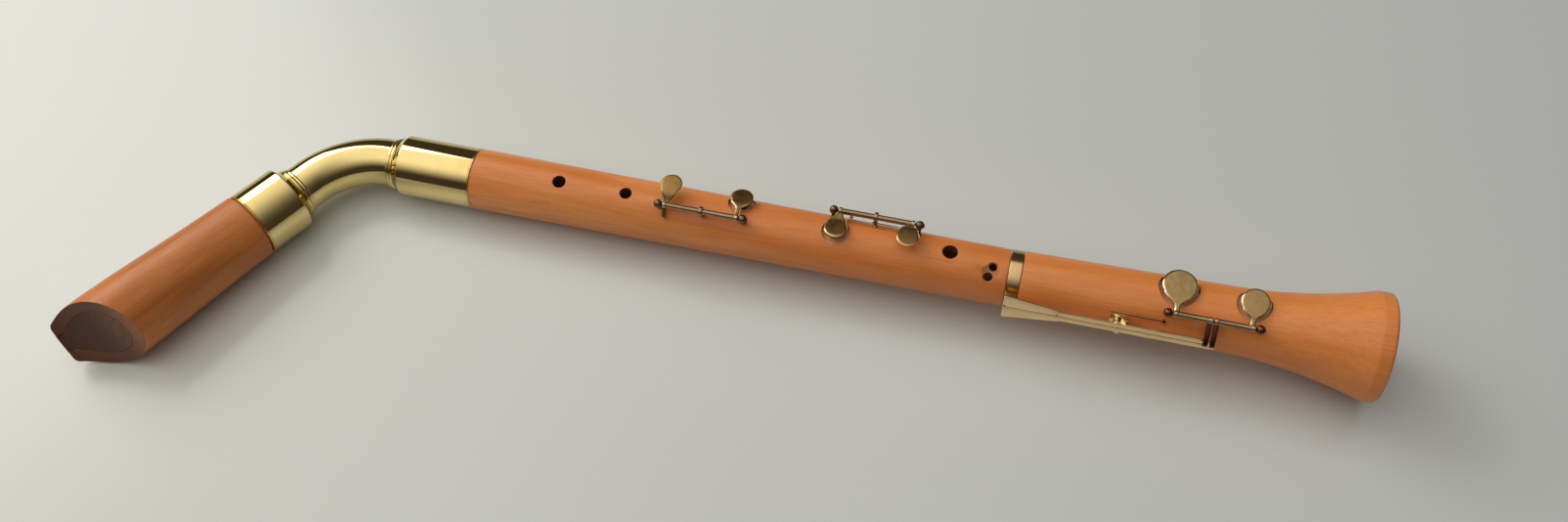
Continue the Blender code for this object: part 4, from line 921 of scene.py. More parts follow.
def prism(name, outline, half_width, place):
    """An (x, z) outline carried across y, as a closed shell."""
    outline = np.asarray(outline, float)
    rows = [np.stack([outline[:, 0], np.full(len(outline), y), outline[:, 1]], axis=-1)
            for y in (-half_width, half_width)]
    return Piece(name).grid(place(np.stack(rows)))


def beak_cutter(name):
    """The cut's surface runs across the head; below it everything goes."""
    share = np.linspace(0.0, 1.0, 72) ** 1.5
    start = HEAD_LENGTH - BEAK_LENGTH
    outline = [(start - 0.001, -0.040), (start - 0.001, float(beak_cut_height(0.0)) - 0.0004)]
    outline += pairs(start + BEAK_LENGTH * share, beak_cut_height(share))
    end = HEAD_LENGTH + 0.004
    outline += [(end, float(beak_cut_height(1.0))), (end, -0.040)]
    return prism(name, outline, 0.040, HEAD.place)


def windway_cutter():
    """A slot over the block's round top: an arc above the block, and one inside it."""
    half = WINDWAY_WIDTH / 2.0 - 0.0004
    share = np.linspace(-1.0, 1.0, 21)
    over = (BLOCK_R + WINDWAY_HEIGHT) * np.stack(
        [np.sin(share * math.asin(half / (BLOCK_R + WINDWAY_HEIGHT))),
         np.cos(share * math.asin(half / (BLOCK_R + WINDWAY_HEIGHT)))], axis=-1)
    under = np.stack([half * share[::-1], np.full(21, BLOCK_R * 0.8)], axis=-1)
    section = np.concatenate([over, under])
    rows = [np.concatenate([np.full((len(section), 1), station), section], axis=-1)
            for station in (BLOCK_START - 0.001, HEAD_LENGTH + 0.004)]
    return Piece("windway_cut").grid(HEAD.place(np.stack(rows)))


def make_head():
    start = GAP * 2.0
    top = -HEAD_TENON[0]
    outline = [(top, HEAD_BORE_R)] + list(reversed(tenon_outline(0.0, top, HEAD_TENON[1])))
    outline += [(start, HEAD_TENON[1]), (start, HEAD_TOP_R - 0.0010), (start + 0.0007, HEAD_TOP_R)]
    stations = np.linspace(0.0, HEAD_LENGTH - BEAK_CORNER, 34)[1:]
    outline += pairs(stations, head_radius(stations))
    sine, cosine = quarter(9)
    corner_r = float(head_radius(HEAD_LENGTH - BEAK_CORNER)) - BEAK_CORNER * (1.0 - cosine[1:])
    outline += pairs(HEAD_LENGTH - BEAK_CORNER * (1.0 - sine[1:]), corner_r)
    outline += [(HEAD_LENGTH, BLOCK_R), (BLOCK_START - WINDOW_LENGTH, BLOCK_R)]
    piece = Piece("head_joint_wood")
    piece.grid(turned_rows(rounded(outline, 0.0003), WOOD_SIDES, HEAD.place), loop=True)
    edge = BLOCK_START - WINDOW_LENGTH
    ramp_end = edge - RAMP_LENGTH
    window = [(BLOCK_START, 0.012), (BLOCK_START, 0.030), (ramp_end, 0.030),
              (ramp_end, float(head_radius(ramp_end)) - 0.0002), (edge, BLOCK_R + RAMP_EDGE), (edge, 0.012)]
    # The windway's walls take the dark wall wood: painted shade.
    cutters = [(beak_cutter("beak_cut"), [cut_wood]),
               (prism("window_cut", window, WINDWAY_WIDTH / 2.0, HEAD.place), [seat_wood]),
               (windway_cutter(), [hole_wall_painted_shade])]
    piece.finish([pear_head], "head", "head_joint", 30.0, cutters)

    radius = BLOCK_R - 0.00025
    end = HEAD_LENGTH - GAP
    outline = [(BLOCK_START, 0.0), (BLOCK_START, radius), (end, radius), (end, 0.0)]
    block = Piece("windway_block_cedar")
    block.grid(turned_rows(rounded(outline, 0.0004, loop=False), METAL_SIDES, HEAD.place), capped=False)
    block.finish([block_cedar], "head", "windway_block", 30.0, [(beak_cutter("block_cut"), [block_cedar])])


# Neck

def make_sleeve(name, size, bore, material):
    """A spun socket: a thin bead at the lip, a straight wall, a rounded corner and a steep shoulder."""
    length, shoulder, radius, depth = size
    inner = radius - SLEEVE_WALL
    hole = NECK_TUBE_R + 0.0001
    sine, cosine = quarter(9, 60.0)
    bead_sine, bead_cosine = quarter(7, 180.0)
    outline = [(GAP, inner)]
    outline += pairs(GAP + 0.0006 * (1.0 - bead_cosine), radius - 0.0005 + 0.0007 * bead_sine)
    outline += [(GAP + 0.0013, radius)]
    outline += pairs(length - SLEEVE_CORNER * (1.0 - sine), radius - SLEEVE_CORNER * (1.0 - cosine))
    outline += [(length + shoulder, NECK_TUBE_R + BEADS[0][1]), (length + shoulder, hole), (depth, hole), (depth, inner)]
    outline = np.array(outline) * (-1.0, 1.0)
    piece = Piece(name + "_brass")
    piece.grid(turned_rows(outline, METAL_SIDES + 32, bore.place), loop=True)
    piece.finish([material], "neck", name)


def make_collar(name, start, bore, material):
    """Two half-round beads round the tube, the bigger one beside the sleeve."""
    inner = NECK_TUBE_R + 0.0001
    outline = [(start, inner)]
    sine, cosine = quarter(15, 180.0)
    for length, height in BEADS:
        outline += pairs(start + length * (0.5 - 0.5 * cosine), inner + (height - 0.0001) * (0.2 + 0.8 * sine))
        start += length
    outline.append((start, inner))
    piece = Piece(name + "_brass")
    piece.grid(turned_rows(np.array(outline) * (-1.0, 1.0), METAL_SIDES, bore.place), loop=True)
    piece.finish([material], "neck", name)


def make_tube():
    """The neck tube: a circle carried along a straight, an arc and a straight, with its bore."""
    collar_end = UPPER_SLEEVE[0] + UPPER_SLEEVE[1] + GAP + BEADS[0][0] + BEADS[1][0]
    centre = np.array([-collar_end - UPPER_STRAIGHT, -NECK_BEND_R, 0.0])
    turns = np.radians(np.linspace(0.0, BEND_ANGLE, 72))
    arc = centre + NECK_BEND_R * np.stack([-np.sin(turns), np.cos(turns), np.zeros(len(turns))], axis=-1)
    first = np.array([[-UPPER_SLEEVE[3] - GAP, 0.0, 0.0]])
    far = (NECK_LOW.place([-LOWER_SLEEVE[3] - GAP, 0.0, 0.0]) - NECK.origin) @ np.stack([NECK.x, NECK.y, NECK.z]).T
    path = np.concatenate([first, arc, far[None]])
    turns = np.concatenate([[0.0], turns, [turns[-1]]])
    outward = np.stack([-np.sin(turns), np.cos(turns), np.zeros(len(turns))], axis=-1)
    angles = np.linspace(0.0, 2.0 * math.pi, METAL_SIDES, endpoint=False)
    spokes = outward[:, None] * np.cos(angles)[None, :, None] + np.array([0.0, 0.0, 1.0]) * np.sin(angles)[None, :, None]
    outer = path[:, None] + NECK_TUBE_R * spokes
    inner = path[:, None] + (NECK_TUBE_R - NECK_TUBE_WALL) * spokes
    piece = Piece("neck_tube_brass")
    piece.grid(NECK.place(np.concatenate([outer, inner[::-1]])), loop=True)
    piece.finish([neck_brass], "neck", "neck_tube")


def make_neck():
    make_sleeve("upper_sleeve", UPPER_SLEEVE, NECK, neck_brass)
    make_sleeve("lower_sleeve", LOWER_SLEEVE, NECK_LOW, head_brass)
    make_collar("upper_collar", UPPER_SLEEVE[0] + UPPER_SLEEVE[1] + GAP / 2.0, NECK, neck_brass)
    make_collar("lower_collar", LOWER_SLEEVE[0] + LOWER_SLEEVE[1] + GAP / 2.0, NECK_LOW, head_brass)
    make_tube()


# Keys

def middle_key_places(name):
    key = SimpleNamespace(**MIDDLE_KEYS[name])
    key.saddle = key.left + key.saddle_past
    key.hole_at = key.left + key.hole_past
    key.touch_at = key.left + key.touch_past
    key.heel_at = key.left + key.heel_past
    key.rod = Rod(BODY, key.rod_angle, body_radius(key.saddle) + key.rod_rise, key.left, key.left + key.length)
    key.surface_r = body_radius(key.hole_at)
    key.side = -1.0 if key.rod_angle > key.hole_angle else 1.0
    key.tube = (key.rod.left + POST_BALL_R + GAP, key.rod.right - POST_BALL_R - GAP)
    key.brass = key_brass
    return key


def low_key_places():
    keys = {name: SimpleNamespace(**sizes) for name, sizes in LOW_KEYS.items()}
    for key in keys.values():
        key.post = key.hole_at + key.way * key.post_past
        key.arm_at = LOW_SPLIT + key.way * ARM_OFF_SPLIT
        key.lever_end = key.arm_at + ARM_BALL_R + key.lever_past
        key.surface_r = float(foot_radius(key.hole_at))
        key.side = -1.0
        key.opening = KEY_OPEN
        key.cup_neck = SHORT_NECK
        key.tube = sorted((key.post - key.way * (POST_BALL_R + SIDE_PLAY), LOW_SPLIT + key.way * SIDE_PLAY))
        key.brass = foot_key_brass
    height = float(foot_radius(LOW_SPLIT)) + LOW_ROD_RISE
    rod = Rod(FOOT, LOW_ROD_ANGLE, height, keys["low_key"].post, keys["half_key"].post)
    for key in keys.values():
        key.rod = rod
    return keys, rod


def edge_drop(distance, radius):
    """How far a rounded edge falls at a distance in from the outline."""
    near = np.clip(radius - distance, 0.0, radius)
    return radius - np.sqrt(radius ** 2 - near ** 2)


def teardrop_half(distance, radius, stem_half, neck_end):
    """Half width of a round plate that draws in to its stem, at distances from its centre."""
    disc = np.sqrt(np.clip(radius ** 2 - distance ** 2, 0.0, None))
    start = radius * 0.55
    share = (distance - start) / (neck_end - start)
    neck = stem_half + (math.sqrt(radius ** 2 - start ** 2) - stem_half) * (1.0 - ease(share))
    return np.where(distance <= start, disc, neck)


def teardrop(station, stem_at, radius, side, reach, top, rod_height, crown, neck):
    """A domed round plate with a stem: sections across it, each a thin lens with rounded edges."""
    ends = -radius * np.cos(np.linspace(0.0, 0.62 * math.pi, 40))
    distance = np.concatenate([ends, np.linspace(ends[-1], reach, 44)[1:]])
    half = teardrop_half(distance, radius, STEM_WIDTH / 2.0, min(radius * neck, reach * 0.95))
    lean = 1.0 / np.sqrt(1.0 + np.gradient(half, distance, edge_order=1) ** 2)
    across = np.sin(np.linspace(-0.5 * math.pi, 0.5 * math.pi, 27))
    x = half[:, None] * across
    far = distance[:, None]
    inside = np.where(far <= radius * 0.55, radius - np.sqrt(x ** 2 + far ** 2),
                      (half[:, None] - np.abs(x)) * lean[:, None])
    inside = np.clip(inside, 0.0, None)
    edge_r = PLATE_THICKNESS * 0.42
    level = radius * 0.75
    fall = ease((far - level) / (reach - level))
    middle = (top - PLATE_THICKNESS / 2.0) * (1.0 - fall) + rod_height * fall
    dome = crown * np.clip(1.0 - (x ** 2 + far ** 2) / radius ** 2, 0.0, 1.0)
    drop = edge_drop(inside, edge_r)
    bevel = PLATE_BEVEL[1] * np.clip(1.0 - inside / PLATE_BEVEL[0], 0.0, 1.0) ** 1.5
    over = middle + PLATE_THICKNESS / 2.0 - np.maximum(drop, bevel) + dome - crown
    under = middle - PLATE_THICKNESS / 2.0 + drop
    place_x = station + (stem_at - station) * fall + x
    place_y = side * far + 0.0 * x
    wear = np.exp(-(inside / (PLATE_BEVEL[0] * 0.8)) ** 2)
    rows = np.concatenate([np.stack([place_x, place_y, over], axis=-1),
                           np.stack([place_x, place_y, under], axis=-1)[:, ::-1]], axis=1)
    return rows, np.concatenate([wear, wear[:, ::-1]], axis=1)


def add_tube(piece, key):
    """A hinge tube with a turned collar at each end."""
    start, end = key.tube
    wide = TUBE_R + 0.0004
    outline = [(start, PIN_R + 0.0001), (start, wide), (start + 0.0020, wide), (start + 0.0022, TUBE_R),
               (end - 0.0022, TUBE_R), (end - 0.0020, wide), (end, wide), (end, PIN_R + 0.0001)]
    profile = rounded(outline, 0.0002, 3)
    piece.turned(profile, key.rod.spot(), loop=True, wear=np.clip((profile[:, 1] - TUBE_R) / 0.0006, 0.15, 0.6))


def add_cup(piece, name, key, crown):
    """The plate with its stem, the cup's skirt below it, and the pad as its own piece."""
    top = seat_height(key) + GAP + PAD_PROUD + CUP_DEPTH
    rod_y, rod_z = key.rod.seen_from(key.hole_angle)
    rows, wear = teardrop(key.hole_at, key.rod.clear_of_posts(key.hole_at), key.cup_r + 0.00025, key.side, abs(rod_y),
                          top + crown, rod_z, crown, key.cup_neck)
    piece.grid(Spot(key.rod.bore, 0.0, key.hole_angle, (0.0, 0.0, 0.0), key.rod, key.opening)(rows), wear=wear)
    outer = key.cup_r + 0.0001
    inner = outer - CUP_WALL
    spot = Spot(key.rod.bore, key.hole_at, key.hole_angle, (0.0, 0.0, 0.0), key.rod, key.opening)
    low = top - CUP_DEPTH
    profile = rounded([(low, inner), (low, outer), (top - 0.0006, outer + 0.0001), (top - 0.0006, inner)], 0.0004)
    piece.turned(profile, spot, METAL_SIDES // 2, True, np.exp(-np.abs(profile[:, 0] - low) / 0.0004), True)
    pad = Piece(name + "_pad_leather")
    pad_low = low - PAD_PROUD
    pad_r = inner - GAP / 2.0
    pad_top = top - PLATE_THICKNESS - 0.0001
    sine, cosine = quarter(7)
    outline = [(pad_low, 0.0), (pad_low, inner * 0.55)]
    outline += pairs(pad_low + 0.0007 * (1.0 - cosine), pad_r - 0.0007 * (1.0 - sine))
    outline += [(pad_top, pad_r), (pad_top, 0.0)]
    pad.turned(outline, spot, METAL_SIDES // 2, True)
    pad.finish([leather], name, name + "_pad")


def strip_rows(spots, halves, ups, thickness, edge=0.0002):
    """A flat bar along a line: at each point, a rounded rectangle across it."""
    turns = (np.linspace(0.0, 0.5 * math.pi, 4) + np.arange(4)[:, None] * 0.5 * math.pi).reshape(-1)
    sign_x = np.repeat([1.0, -1.0, -1.0, 1.0], 4)
    sign_z = np.repeat([1.0, 1.0, -1.0, -1.0], 4)
    spots, halves, ups = (np.asarray(values, float) for values in (spots, halves, ups))
    wide = np.linalg.norm(halves, axis=-1, keepdims=True)
    thick = np.broadcast_to(np.asarray(thickness, float).reshape(-1, 1), (len(spots), 1)) / 2.0
    along_x = sign_x * (wide - edge) + edge * np.cos(turns)
    along_z = sign_z * (thick - edge) + edge * np.sin(turns)
    return spots[:, None] + (halves / wide)[:, None] * along_x[..., None] + ups[:, None] * along_z[..., None]


def add_heel(piece, name, key):
    """The tongue that stops the open key, with a thin cork under its end."""
    tip_angle = key.rod.angle - key.side * HEEL_SWING
    tip_r = body_radius(key.heel_at) + GAP + CORK_THICKNESS + GAP + 0.0009
    rod = key.rod.centre(key.heel_at)
    tip = about_x([key.heel_at, 0.0, tip_r], tip_angle)
    share = np.linspace(0.0, 1.0, 9)[:, None]
    along = (tip - rod) / np.linalg.norm(tip - rod)
    normal = np.cross(along, [1.0, 0.0, 0.0])
    halves = np.repeat([[HEEL_WIDTH / 2.0, 0.0, 0.0]], 9, axis=0)
    spots = rod + (tip - rod) * share
    piece.grid(BODY.place(strip_rows(spots, halves, np.repeat([normal], 9, axis=0), 0.0017 - 0.0003 * share[:, 0])))
    outward = about_x([0.0, 0.0, 1.0], tip_angle)
    across = np.cross(outward, [1.0, 0.0, 0.0])
    middle = tip - outward * (0.0009 + GAP * 0.3 + CORK_THICKNESS / 2.0)
    steps = np.linspace(-1.0, 1.0, 7)[:, None]
    bumper = Piece(name + "_stop_cork_pad")
    bumper.grid(BODY.place(strip_rows(middle + across * 0.0011 * steps, halves[:7], np.repeat([outward], 7, axis=0),
                                      CORK_THICKNESS)))
    bumper.finish([cork], name, name + "_stop_cork")


def make_post(name, rod, station, surface_r, body, material):
    """A ball on a waisted stem, with a turned foot on the wood."""
    height = rod.height
    outline = [(surface_r - 0.0040, 0.0), (surface_r - 0.0040, 0.0011), (surface_r - 0.0001, 0.0011),
               (surface_r, 0.0019), (surface_r + 0.0005, 0.0019), (surface_r + 0.0009, 0.0015),
               (surface_r + 0.0018, POST_STEM_R), (height - POST_BALL_R * 1.05, POST_STEM_R * 0.92)]
    turn = np.linspace(0.2, math.pi, 28)
    ball = np.stack([height - POST_BALL_R * np.cos(turn), POST_BALL_R * np.sin(turn)], axis=-1)
    ball = ball[ball[:, 1] > POST_STEM_R * 0.92]
    wear = [0.0] * 8 + (np.clip((ball[:, 0] - height) / POST_BALL_R, 0.0, 1.0) * 0.5).tolist() + [0.5]
    outline += ball.tolist() + [(height + POST_BALL_R, 0.0)]
    piece = Piece(name + "_turned")
    piece.turned(outline, Spot(rod.bore, station, rod.angle), 40, True, wear)
    piece.finish([material], body, name, 50.0)


def make_saddle(name, key):
    """The ring-headed post that steadies the middle of the tube."""
    base = body_radius(key.saddle)
    top = key.rod.height - TUBE_R - 0.0008
    piece = Piece(name + "_saddle_turned")
    stem = [(base - 0.0040, 0.0), (base - 0.0040, 0.0011), (base - 0.0001, 0.0011), (base, 0.0019),
            (base + 0.0005, 0.0019), (base + 0.0010, 0.0014), (base + 0.0018, POST_STEM_R),
            (top, POST_STEM_R), (top, 0.0)]
    piece.turned(stem, Spot(BODY, key.saddle, key.rod.angle), 32, True)
    ring = [(-0.0012, TUBE_R + 0.0001), (-0.0012, SADDLE_RING_R), (0.0012, SADDLE_RING_R), (0.0012, TUBE_R + 0.0001)]
    profile = rounded(ring, 0.0005, 5)
    piece.turned(profile, key.rod.spot(key.saddle), wear=np.clip((profile[:, 1] - 0.0025) / 0.0020, 0.0, 0.4), loop=True)
    piece.finish([tube_brass], "middle", name + "_saddle")


def make_spring(name, rod, anchor, way, drop, body):
    """A needle spring: thick in its post, and thinner towards its tip."""
    wire = np.array([(-0.0022, 0.0), (-0.0022, SPRING_R), (0.0150, SPRING_R * 0.6), (0.0158, 0.0)]) * (way, 1.0)
    piece = Piece(name + "_wire")
    piece.turned(wire, rod.spot(anchor, drop), 12)
    piece.finish([dark_steel], body, name)


def make_pin(name, rod, body):
    """The pivot: a plain rod with a small head outside the right-hand ball."""
    start = rod.left - POST_BALL_R * 0.8
    end = rod.right + POST_BALL_R
    outline = [(start, 0.0), (start, PIN_R), (end - 0.0002, PIN_R), (end - 0.0002, PIN_R + 0.0003),
               (end + 0.0001, PIN_R + 0.0003), (end + 0.0003, PIN_R * 0.7), (end + 0.0003, 0.0)]
    piece = Piece(name + "_steel")
    piece.turned(rounded(outline, 0.00015, 3, False), rod.spot(), 28)
    piece.finish([dark_steel], body, name)


def make_middle_key(name, key):
    piece = Piece(name + "_brass")
    add_tube(piece, key)
    tube_faces = len(piece.faces)
    add_cup(piece, name, key, 0.0002)
    rod_y, rod_z = key.rod.seen_from(key.touch_angle)
    rows, wear = teardrop(key.touch_at, key.rod.clear_of_posts(key.touch_at), key.touch_r, key.side, key.touch_reach,
                          rod_z + key.touch_rise + 0.0002, rod_z, 0.0003, LONG_NECK)
    shift = (0.0, rod_y - key.side * key.touch_reach, 0.0)
    piece.grid(Spot(BODY, 0.0, key.touch_angle, shift, key.rod, key.opening)(rows), wear=wear)
    add_heel(piece, name, key)
    piece.slots = [1] * tube_faces + [0] * (len(piece.faces) - tube_faces)
    piece.finish([key_brass, tube_brass], name, name)
    for end, station in (("left", key.rod.left), ("right", key.rod.right)):
        make_post(f"{name}_{end}_post", key.rod, station, body_radius(station), "middle", post_brass)
    make_saddle(name, key)
    make_spring(name + "_spring", key.rod, key.saddle, 1.0, SADDLE_SPRING_DROP, "middle")
    make_pin(name + "_pin", key.rod, "middle")


def make_low_key(name, key):
    """A foot cup with its tube, and the bent arm whose small ball rests on its lever."""
    piece = Piece(name + "_brass")
    add_tube(piece, key)
    tube_faces = len(piece.faces)
    add_cup(piece, name, key, 0.0001)
    height = LEVER_TOP + GAP + ARM_BALL_R
    ball = about_x([key.arm_at, ARM_BALL_Y, height], LEVER_ANGLE)
    elbow = about_x([key.arm_at, LEVER_BAR_WIDTH + ARM_BALL_R, height - 0.0005], LEVER_ANGLE)
    rod = key.rod.centre(key.arm_at)
    share = np.linspace(0.0, 1.0, 17)[:, None]
    bend = 2.0 * elbow - 0.5 * (rod + ball)
    curve = (1 - share) ** 2 * rod + 2 * share * (1 - share) * bend + share ** 2 * ball
    along = np.gradient(curve, axis=0)
    along /= np.linalg.norm(along, axis=-1, keepdims=True)
    halves = np.repeat([[ARM_WIDTH / 2.0, 0.0, 0.0]], 17, axis=0)
    dark_from = len(piece.faces)
    piece.grid(FOOT.place(strip_rows(curve, halves, np.cross(along, [1.0, 0.0, 0.0]), 0.0018 - 0.0006 * share[:, 0])))
    sine, cosine = quarter(20, 180.0)
    # The ball's wear of 0.9 brightens it into a painted highlight.
    piece.turned(pairs(-ARM_BALL_SHOWN * cosine, ARM_BALL_SHOWN * sine), Spot(FOOT, 0.0, 0.0, ball), 28, False, [0.9] * 20)
    piece.slots = [2] * tube_faces + [0] * (dark_from - tube_faces) + [1] * (len(piece.faces) - dark_from)
    piece.finish([foot_key_brass, foot_post_brass_painted_reflection, tube_brass], name, name)
    make_spring(name + "_spring", key.rod, key.post, -key.way, POST_SPRING_DROP, "foot")


# Levers

def across_bars(points, height):
    """A turned shape's x axis laid across the levers at their pivot."""
    return np.stack([points[..., 1] + LEVER_PIVOT, points[..., 0], points[..., 2] + height], axis=-1)


def make_lever(name, side, ends):
    """A lever from its touch to its tip: stations, each with an inner and an outer edge."""
    inner = SIDE_PLAY / 2.0
    start = 2.0 * GAP
    share = np.linspace(0.0, 1.0, 30)
    width = LEVER_TOUCH_WIDTH + (LEVER_TOUCH_NARROW - LEVER_TOUCH_WIDTH) * share
    plan = np.stack([start + (LEVER_TOUCH_END - start) * share, np.full(30, inner), width], axis=-1).tolist()
    plan[0] = [start, inner + 0.0002, LEVER_TOUCH_WIDTH - 0.0006]
    plan.append([LEVER_TOUCH_END + 0.0008, inner, LEVER_HALF])
    short = ends["low_key"]
    if side > 0.0:
        plan += [[short - 0.0006, inner, LEVER_HALF], [short, inner + 0.0006, LEVER_HALF - 0.0006]]
    else:
        end = ends["half_key"]
        plan += [[short + GAP, inner, LEVER_HALF], [short + GAP + 0.0002, -LEVER_HALF, LEVER_HALF],
                 [end - 0.0005, -LEVER_HALF, LEVER_HALF], [end, -LEVER_HALF + 0.0005, LEVER_HALF - 0.0005]]
    stations, low, high = np.array(plan).T
    none = np.zeros(len(plan))
    spots = np.stack([stations, side * (low + high) / 2.0, none + LEVER_TOP - LEVER_THICKNESS / 2.0], axis=-1)
    halves = np.stack([none, (high - low) / 2.0, none], axis=-1)
    ups = np.stack([none, none, none + 1.0], axis=-1)
    piece = Piece(name + "_brass")
    rolled = Spot(FOOT, 0.0, LEVER_ANGLE)
    piece.grid(rolled(strip_rows(spots, halves, ups, LEVER_THICKNESS, 0.0003)))
    barrel = np.array([(inner + 0.0001, 0.0), (inner + 0.0001, LEVER_BARREL_R), (LEVER_HALF - 0.0001, LEVER_BARREL_R),
                       (LEVER_HALF - 0.0001, 0.0)]) * (side, 1.0)
    rows = turned_rows(rounded(barrel, 0.0002, 3, False), SMALL_SIDES)
    piece.grid(rolled(across_bars(rows, LEVER_PIVOT_HEIGHT)), capped=False)
    bright = len(piece.faces)
    if side > 0.0:
        for station in LEVER_PITS:
            pit = [(LEVER_TOP - 0.0005, 0.0), (LEVER_TOP - 0.0005, 0.0006), (LEVER_TOP + 0.00004, 0.0006),
                   (LEVER_TOP + 0.00004, 0.0)]
            piece.grid(rolled(upright(turned_rows(pit, 16)) + np.array([station, inner + 0.0007, 0.0])), capped=False)
    piece.slots = [0] * bright + [1] * (len(piece.faces) - bright)
    piece.finish([lever_brass, dark_steel], name, name)


def leaf(centre, size, turned):
    """A thin pointed oval plate, turned in its own plane: x = a cos t and y = b sin t (0.75 + 0.25 sin t sin t)."""
    turn = np.linspace(0.0, 2.0 * math.pi, 32, endpoint=False)
    x = size[0] * np.cos(turn)
    y = size[1] * np.sin(turn) * (0.75 + 0.25 * np.sin(turn) ** 2)
    angle = math.radians(turned)
    flat = [x * math.cos(angle) - y * math.sin(angle), x * math.sin(angle) + y * math.cos(angle)]
    rows = [np.stack([*flat, np.full(len(turn), height)], axis=-1) for height in (-0.0003, 0.0003)]
    return np.stack(rows) + np.array(centre)


def make_bracket():
    """The saddle's base and its two rounded ears, which stand outside the levers, and the lever pin."""
    floor = math.sqrt(float(foot_radius(LEVER_PIVOT)) ** 2 - (BRACKET_HALF + 0.0012) ** 2) + GAP
    rolled = Spot(FOOT, 0.0, LEVER_ANGLE)
    low = LEVER_PIVOT - BRACKET_LENGTH / 2.0
    high = LEVER_PIVOT + BRACKET_LENGTH / 2.0
    piece = Piece("lever_bracket_brass")
    along = np.linspace(low, high, 12)
    spots = np.stack([along, np.zeros(12), np.full(12, floor + 0.0006)], axis=-1)
    halves = np.repeat([[0.0, BRACKET_HALF, 0.0]], 12, axis=0)
    ups = np.repeat([[0.0, 0.0, 1.0]], 12, axis=0)
    piece.grid(rolled(strip_rows(spots, halves, ups, 0.0012, 0.0002)))
    sine, cosine = quarter(20, 180.0)
    outline = [(low + 0.001, floor + 0.0006), (high - 0.001, floor + 0.0006)]
    outline += pairs(LEVER_PIVOT + BRACKET_EAR_R * cosine, LEVER_PIVOT_HEIGHT + BRACKET_EAR_R * sine)
    outline = np.array(outline)
    for side in (-1.0, 1.0):
        rows = [np.stack([outline[:, 0], np.full(len(outline), side * EAR_MIDDLE + y), outline[:, 1]], axis=-1)
                for y in (-BRACKET_EAR / 2.0, BRACKET_EAR / 2.0)]
        piece.grid(rolled(np.stack(rows)))
    piece.grid(rolled(leaf((LEVER_PIVOT + 0.0105, -LEVER_HALF - 0.0003, LEVER_TOP - 0.0038), (0.0060, 0.0024), 0.0)))
    plain = len(piece.faces)
    # Two thin leaves of brighter brass on the ear: a painted highlight.
    centre = about_x([LEVER_PIVOT + 0.0010, EAR_MIDDLE + 0.0006, LEVER_PIVOT_HEIGHT + 0.0006], LEVER_ANGLE)
    for shift, size in (((0.0, 0.0), (0.0042, 0.0014)), ((-0.0020, 0.0018), (0.0026, 0.0009))):
        flat = leaf((shift[0], shift[1], 0.0), size, -38.0)
        piece.grid(FOOT.place(about_x(flat, 4.0) + centre))
    piece.slots = [0] * plain + [1] * (len(piece.faces) - plain)
    piece.finish([lever_brass, ear_painted_highlight], "foot", "lever_bracket")
    pin = Piece("lever_pin_steel")
    end = BRACKET_HALF + 0.0002
    profile = [(-end, 0.0), (-end, PIN_R), (end - 0.0001, PIN_R), (end - 0.0001, 0.00145), (end + 0.0005, 0.00145),
               (end + 0.0007, 0.0012), (end + 0.0007, 0.0)]
    pin.grid(rolled(across_bars(turned_rows(profile, 28), LEVER_PIVOT_HEIGHT)), capped=False)
    pin.finish([dark_steel], "foot", "lever_pin")


def make_lever_spring():
    """The screw in the wood beside the levers, and the wire that runs from it to the bracket."""
    surface_r = float(foot_radius(LEVER_SCREW_AT))
    angle = LEVER_ANGLE - math.degrees(math.asin(LEVER_SCREW_Y / surface_r))
    screw = Piece("lever_spring_screw_steel")
    top = surface_r + 0.0022
    profile = [(surface_r - 0.0040, 0.0), (surface_r - 0.0040, LEVER_SCREW_R), (top - 0.0008, LEVER_SCREW_R),
               (top - 0.0002, LEVER_SCREW_R * 0.8), (top, 0.0)]
    screw.turned(profile, Spot(FOOT, LEVER_SCREW_AT, angle), 24, True)
    screw.finish([foot_post_brass_painted_reflection], "foot", "lever_spring_screw", 50.0)
    wire = Piece("lever_spring_wire")
    start = LEVER_PIVOT - BRACKET_LENGTH / 2.0
    end = LEVER_SCREW_AT - LEVER_SCREW_R - GAP
    profile = [(start, 0.0), (start, SPRING_R * 0.8), (end, SPRING_R), (end, 0.0)]
    wire.turned(profile, Spot(FOOT, 0.0, angle, (0.0, 0.0, surface_r + GAP + SPRING_R)), 12)
    wire.finish([dark_steel], "foot", "lever_spring")


def keep_plain_nodes():
    """Nodes that stay: the tenon corks inside the sockets."""
    for name in ("upper_tenon_cork", "lower_tenon_cork", "head_tenon_cork"):
        NODES[name].data.materials.clear()
        NODES[name].data.materials.append(cork)


# The room

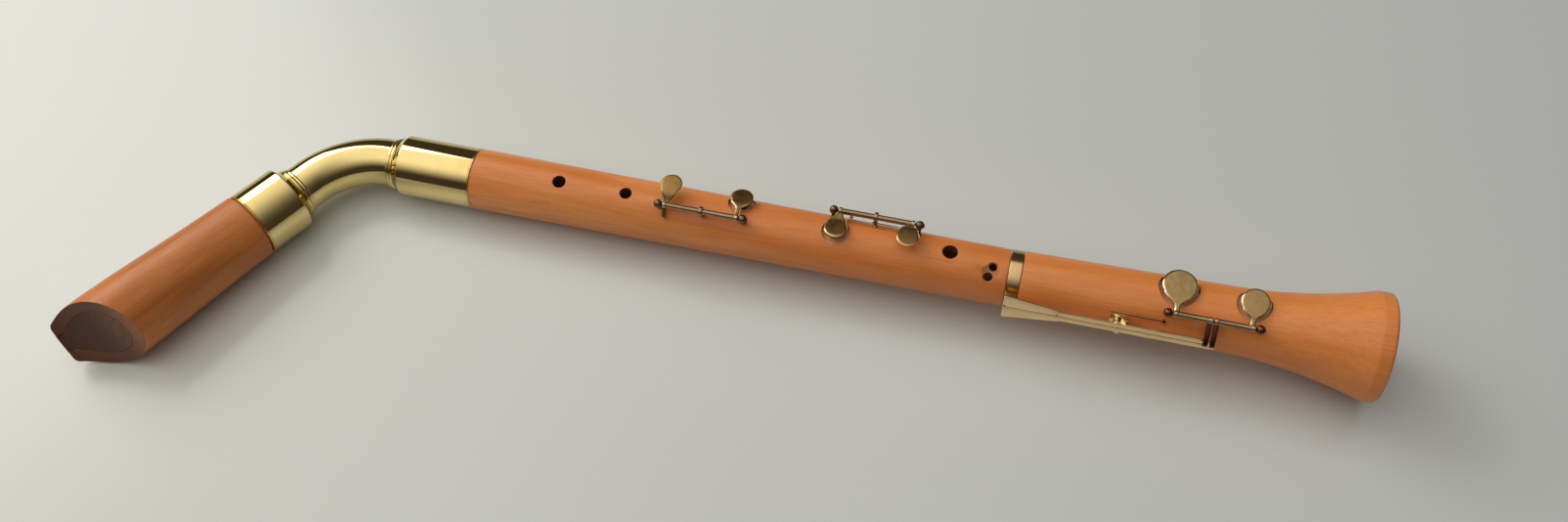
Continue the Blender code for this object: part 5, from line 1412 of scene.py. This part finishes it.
def make_table():
    plane = bpy.data.meshes.new("table")
    plane.from_pydata([(-6.0, -6.0, 0.0), (6.0, -6.0, 0.0), (6.0, 6.0, 0.0), (-6.0, 6.0, 0.0)], [], [(0, 1, 2, 3)])
    table = bpy.data.objects.new("table", plane)
    bpy.context.collection.objects.link(table)
    plane.materials.append(table_top())


def make_room():
    """A bright ceiling, with a sharp edge on the far side and long fades on the near and bell sides."""
    world = bpy.data.worlds.new("room")
    world.use_nodes = True
    bpy.context.scene.world = world
    room = Shader(world.node_tree)
    towards = room.node("TexCoord", {}, {}, "Generated")
    lean = room.part(towards, "Y").math("ARCTAN2", room.part(towards, "Z"))
    far_edge = room.ramp(lean, 0.57, 0.67, 1.0, 0.0)
    near_fade = room.ramp(lean, -1.20, -0.28)
    bell_fade = room.ramp(room.part(towards, "X"), -0.40, 1.0, 1.0, 0.0)
    light = room.mix(far_edge * near_fade * bell_fade, ROOM_DARK, ROOM_BRIGHT)
    seen = room.node("LightPath", {}, {}, "Is Camera Ray")
    connect(room.tree, world.node_tree.nodes["Background"].inputs["Color"], room.mix(seen, light, BACKDROP))


def make_set():
    make_table()
    make_room()
    make_lamp("window_lamp", (-2.10, 1.15, 1.70), (0.05, 0.05, 0.0), 1.8, 1.5, 27.0, (1.0, 0.985, 0.95))
    bpy.context.scene.view_settings.view_transform = "Standard"
    make_camera()


middle_keys = {name: middle_key_places(name) for name in MIDDLE_KEYS}
low_keys, low_rod = low_key_places()
lever_ends = {name: key.lever_end for name, key in low_keys.items()}

make_middle()
make_foot()
make_head()
make_neck()
for key_name, middle_key in middle_keys.items():
    make_middle_key(key_name, middle_key)
for end, station in (("left", low_rod.left), ("right", low_rod.right)):
    make_post(f"low_{end}_post", low_rod, station, float(foot_radius(station)), "foot", foot_post_brass_painted_reflection)
make_pin("low_pin", low_rod, "foot")
for key_name, low_key in low_keys.items():
    make_low_key(key_name, low_key)
make_lever("low_lever", 1.0, lever_ends)
make_lever("half_lever", -1.0, lever_ends)
make_bracket()
make_lever_spring()
keep_plain_nodes()
make_set()
